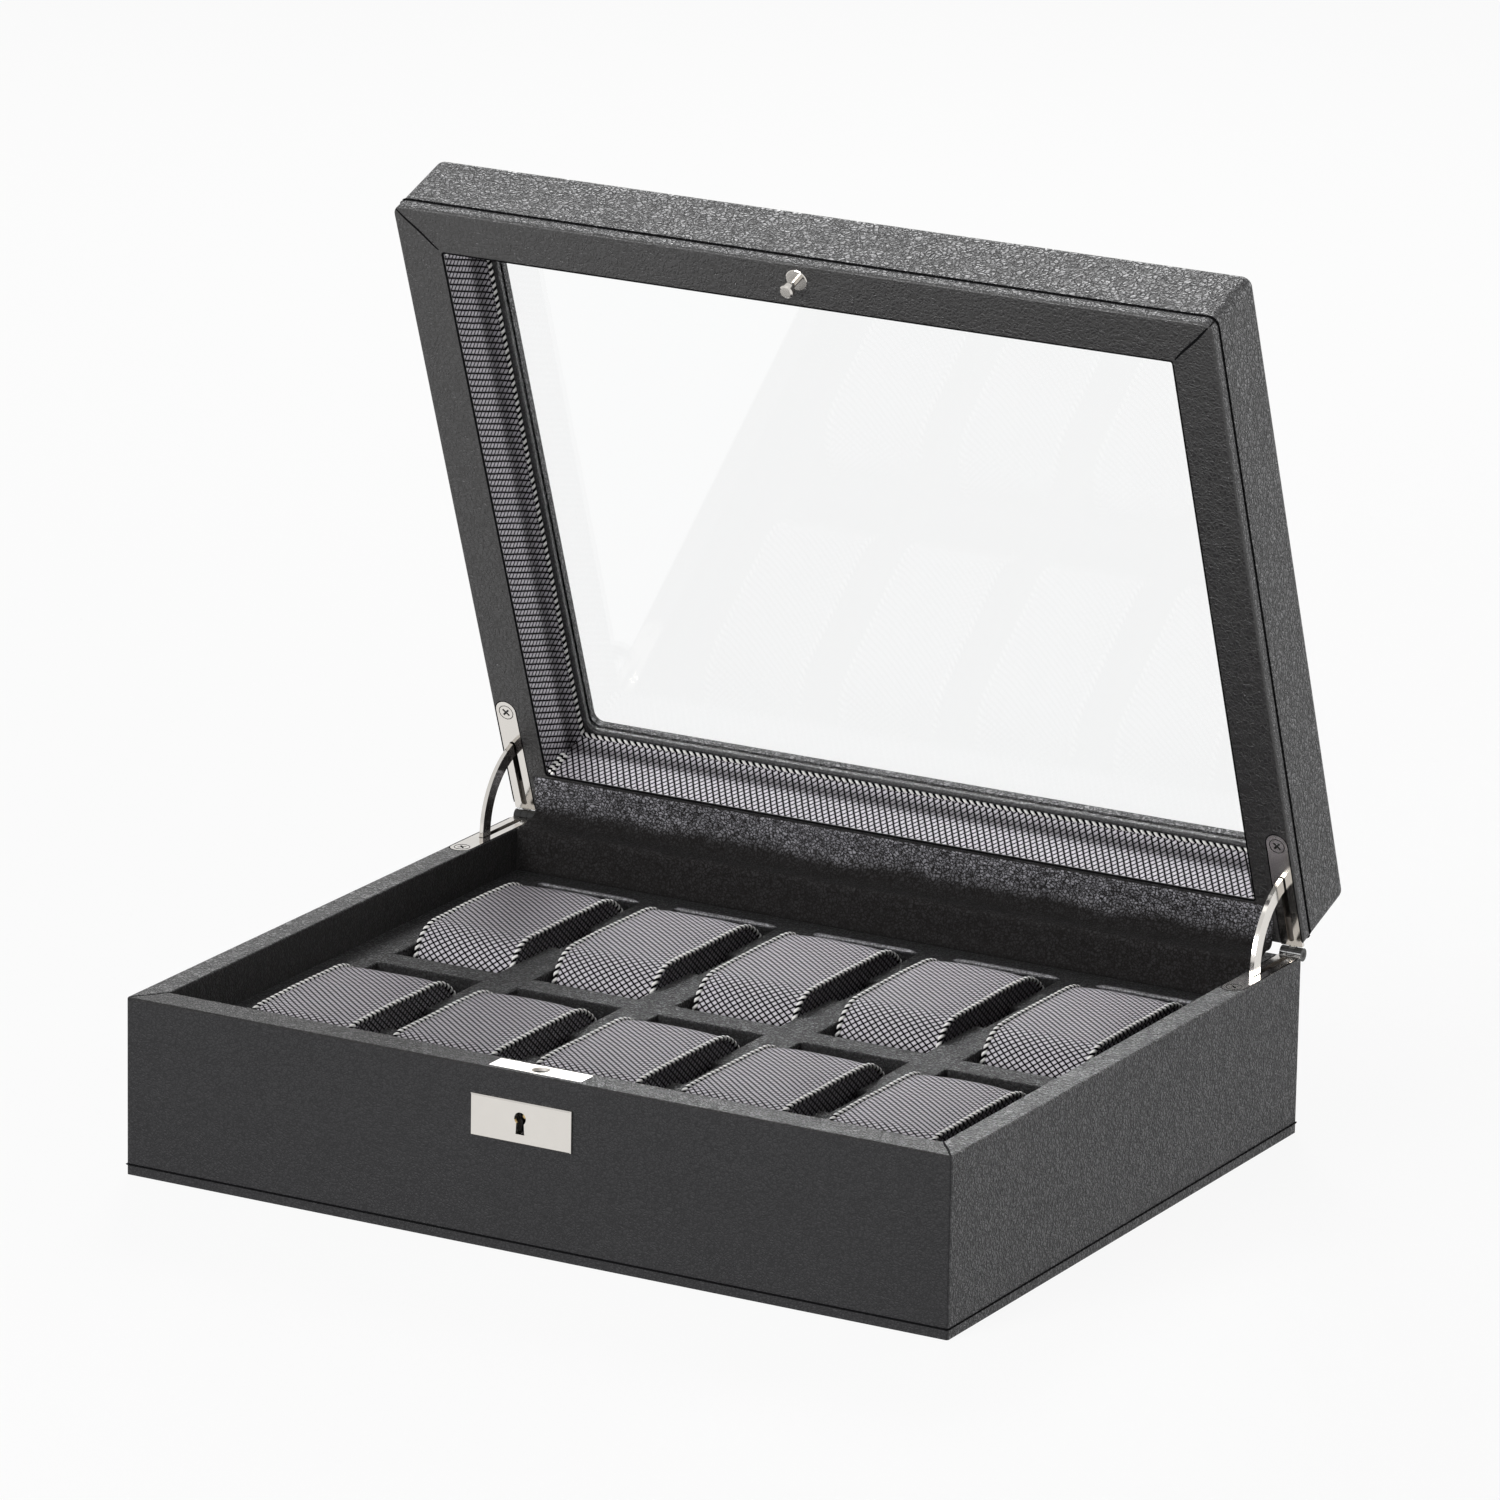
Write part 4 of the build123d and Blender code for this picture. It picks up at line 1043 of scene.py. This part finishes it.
class WATCHBOX_OT_tray_rolls(bpy.types.Operator):
    """Lay a pale roll along the back edge of each cell of the back row, a painted highlight for the lit edge"""

    bl_idname = "watch_box.tray_rolls"
    bl_label = "Tray rolls"

    def execute(self, context):
        count, around = 24, 10
        vertices, faces = [], []
        for column in range(CELL_COUNT):
            centre, rings = (column - 2) * CELL_PITCH, []
            for i in range(count + 1):
                share = 2 * i / count - 1
                radius = ROLL_RADIUS * max(0.0, 1 - abs(share) ** 12) ** 0.5 + 0.02
                sway = 0.1 * math.sin(share * 5 + column)
                section = round_profile(ROLL_Y + sway, TRAY_TOP, radius, radius, around)
                rings.append(add_row(vertices, [in_metres(centre + ROLL_HALF * share, y, z) for y, z in section]))
            faces += capped(rings)
        rolls = new_object("tray_cell_highlight_rolls", vertices, faces, materials=[material("roll leather")])
        outward(rolls, smooth=True)
        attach(rolls, "base")
        return {"FINISHED"}


class WATCHBOX_OT_hinge_strip(bpy.types.Operator):
    """Make the soft leather strip that runs from the lid, round the hollow behind the rims, down to the tray"""

    bl_idname = "watch_box.hinge_strip"
    bl_label = "Hinge strip"

    def execute(self, context):
        count = 90
        vertices, rows = [], []
        line = list(enumerate(self.line()))
        for thickness, ordered in ((STRIP_THICKNESS, line), (0.0, line[::-1])):
            for k, (y, z, out_y, out_z) in ordered:
                soft, points = line_softness(k / (len(line) - 1)), []
                for i in range(count + 1):
                    share = 2 * i / count - 1
                    x = STRIP_HALF * share
                    ripple = (noise.noise(Vector((x * 0.03, 0.7, 3.1))) + 0.5) * 0.5 * soft
                    gather = 0.9 * soft * abs(share) ** 14 * (1 + math.sin(k * 0.7))
                    lift = thickness + max(0.0, ripple + gather)
                    points.append(in_metres(x, y + out_y * lift, z + out_z * lift))
                rows.append(add_row(vertices, points))
        strip = new_object("hinge_strip_leather", vertices, capped(list(zip(*rows))),
                           materials=[material("strip leather")])
        outward(strip, smooth=True)
        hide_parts("hinge_strip")
        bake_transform(strip)
        return {"FINISHED"}

    def line(self):
        """Points and outward directions of the strip's back face from the tray up to the lid's lining, in mm."""
        foot, corner, rim, corner_radius = (122.95, TRAY_TOP), (122.4, 66.0), (125.0, 68.2), 2.2
        meet, hollow, reach = 139.486, 7.8, 19.9
        tangent = hollow / math.tan(OPEN / 2)
        found = []
        for t in range(8):
            y, z = (foot[c] + (corner[c] - foot[c]) * t / 7 for c in (0, 1))
            found.append((y, z, -1.0, 0.0))
        for t in range(1, 8):
            angle = math.radians(180 - 90 * t / 8)
            out_y, out_z = math.cos(angle), math.sin(angle)
            found.append((corner[0] + corner_radius * (1 + out_y), corner[1] + corner_radius * out_z, out_y, out_z))
        for t in range(5):
            found.append((rim[0] + (meet - tangent - rim[0]) * t / 4, rim[1] + (BASE_RIM - rim[1]) * t / 4, 0.0, 1.0))
        for t in range(1, 12):
            angle = (math.pi - OPEN) * t / 12
            out_y, out_z = -math.sin(angle), math.cos(angle)
            found.append((meet - tangent - hollow * out_y, BASE_RIM + hollow * (1 - out_z), out_y, out_z))
        for t in range(9):
            along = tangent + (reach - tangent) * t / 8
            found.append((meet - along * math.cos(OPEN), BASE_RIM + along * math.sin(OPEN),
                          -math.sin(OPEN), -math.cos(OPEN)))
        return found


def line_softness(share):
    """How far the strip may ripple: none where it is glued, most in the hollow."""
    return max(0.0, math.sin(math.pi * min(1.0, max(0.0, (share - 0.2) / 0.75))))


class WATCHBOX_OT_stage(bpy.types.Operator):
    """Build the pale floor, the studio light and the camera"""

    bl_idname = "watch_box.stage"
    bl_label = "Stage"

    def execute(self, context):
        self.camera(context.scene)
        self.world(context.scene)
        self.floor()
        self.lamps(context.scene)
        context.scene.view_settings.view_transform = "Standard"
        return {"FINISHED"}

    def camera(self, scene):
        """The camera, fitted to the corners of the base, the lid and the glass."""
        azimuth, elevation, roll = (math.radians(a) for a in (29.193, 16.2, 0.98))
        distance, side, rise = 3.6781, 0.01225, 0.14845
        level = math.cos(elevation)
        back = Vector((math.sin(azimuth) * level, -math.cos(azimuth) * level, math.sin(elevation)))
        right = Vector((math.cos(azimuth), math.sin(azimuth), 0))
        up = back.cross(right)
        right, up = math.cos(roll) * right + math.sin(roll) * up, math.cos(roll) * up - math.sin(roll) * right
        data = bpy.data.cameras.new("camera")
        data.lens, data.sensor_width, data.sensor_fit = scene.watch_box.lens, 36.0, "HORIZONTAL"
        data.clip_end = 50.0
        camera = bpy.data.objects.new("camera", data)
        where = back * distance + right * side + up * rise
        camera.matrix_world = Matrix.Translation(where) @ Matrix((right, up, back)).transposed().to_4x4()
        scene.collection.objects.link(camera)
        scene.camera = camera

    def world(self, scene):
        """White to the camera and to gloss and glass, and a dimmer sky for what it lights."""
        shader = Shader("studio", "worlds")
        strength = shader.node("ShaderNodeMapRange", None, shader.seen(), To_Min=0.15, To_Max=1.0).out("Result")
        sky = shader.node("ShaderNodeBackground", None, Strength=strength)
        scene.world = shader.close(sky.out("Background"), "ShaderNodeOutputWorld")

    def floor(self):
        """A pale floor that shows almost white and keeps a soft shadow."""
        shader = Shader("pale floor")
        matt = shader.node("ShaderNodeBsdfDiffuse", None, Color=rgba((0.62, 0.62, 0.62)))
        glow = shader.node("ShaderNodeEmission", None, Color=rgba((1.0, 1.0, 1.0)), Strength=1.0)
        share = shader.seen() * 0.92
        mixed = shader.node("ShaderNodeMixShader", None, share, matt.out("BSDF"), glow.out("Emission"))
        size = 6.0
        corners = [(-size, -size, 0), (size, -size, 0), (size, size, 0), (-size, size, 0)]
        new_object("floor", corners, [(0, 1, 2, 3)], materials=[shader.close(mixed.out("Shader"))])

    def lamps(self, scene):
        """One overhead, one in front, one behind that shines through the glass and a low one behind at the right."""
        for name, where, aim, size, watts in (
            ("overhead", (-0.2, -0.5, 2.1), (0, 0, 0.1), (1.3, 1.0), 3.0),
            ("front", (-0.35, -1.9, 0.8), (0, 0, 0.1), (0.9, 0.7), 44.0),
            ("behind left", (-0.9, 1.6, 1.4), (0, 0, 0.15), (0.6, 0.6), 23.0),
            ("behind right", (1.05, 2.1, 0.55), (0, 0, 0.2), (0.7, 0.6), 15.0),
        ):
            data = bpy.data.lights.new(name, "AREA")
            data.shape, data.size, data.size_y = "RECTANGLE", size[0], size[1]
            data.energy = watts * scene.watch_box.lamp_power
            lamp = bpy.data.objects.new(name, data)
            lamp.location = where
            lamp.rotation_euler = (Vector(aim) - Vector(where)).to_track_quat("-Z", "Y").to_euler()
            scene.collection.objects.link(lamp)


STEPS = (
    WATCHBOX_OT_stage,
    WATCHBOX_OT_hard_pieces,
    WATCHBOX_OT_cushions,
    WATCHBOX_OT_lid_lining,
    WATCHBOX_OT_stitching,
    WATCHBOX_OT_tray_rolls,
    WATCHBOX_OT_hinge_strip,
)


class WATCHBOX_PT_panel(bpy.types.Panel):
    bl_label = "Watch box"
    bl_idname = "WATCHBOX_PT_panel"
    bl_space_type = "VIEW_3D"
    bl_region_type = "UI"
    bl_category = "Watch box"

    def draw(self, context):
        for name in WATCHBOX_PG_settings.__annotations__:
            self.layout.prop(context.scene.watch_box, name)
        for step in STEPS:
            self.layout.operator(step.bl_idname)


CLASSES = (WATCHBOX_PG_settings, *STEPS, WATCHBOX_PT_panel)


def register():
    for kind in CLASSES:
        bpy.utils.register_class(kind)
    bpy.types.Scene.watch_box = bpy.props.PointerProperty(type=WATCHBOX_PG_settings)


def unregister():
    del bpy.types.Scene.watch_box
    for kind in reversed(CLASSES):
        bpy.utils.unregister_class(kind)


def main():
    register()
    for step in STEPS:
        family, name = step.bl_idname.split(".")
        getattr(getattr(bpy.ops, family), name)()


if __name__ == "__main__":
    main()
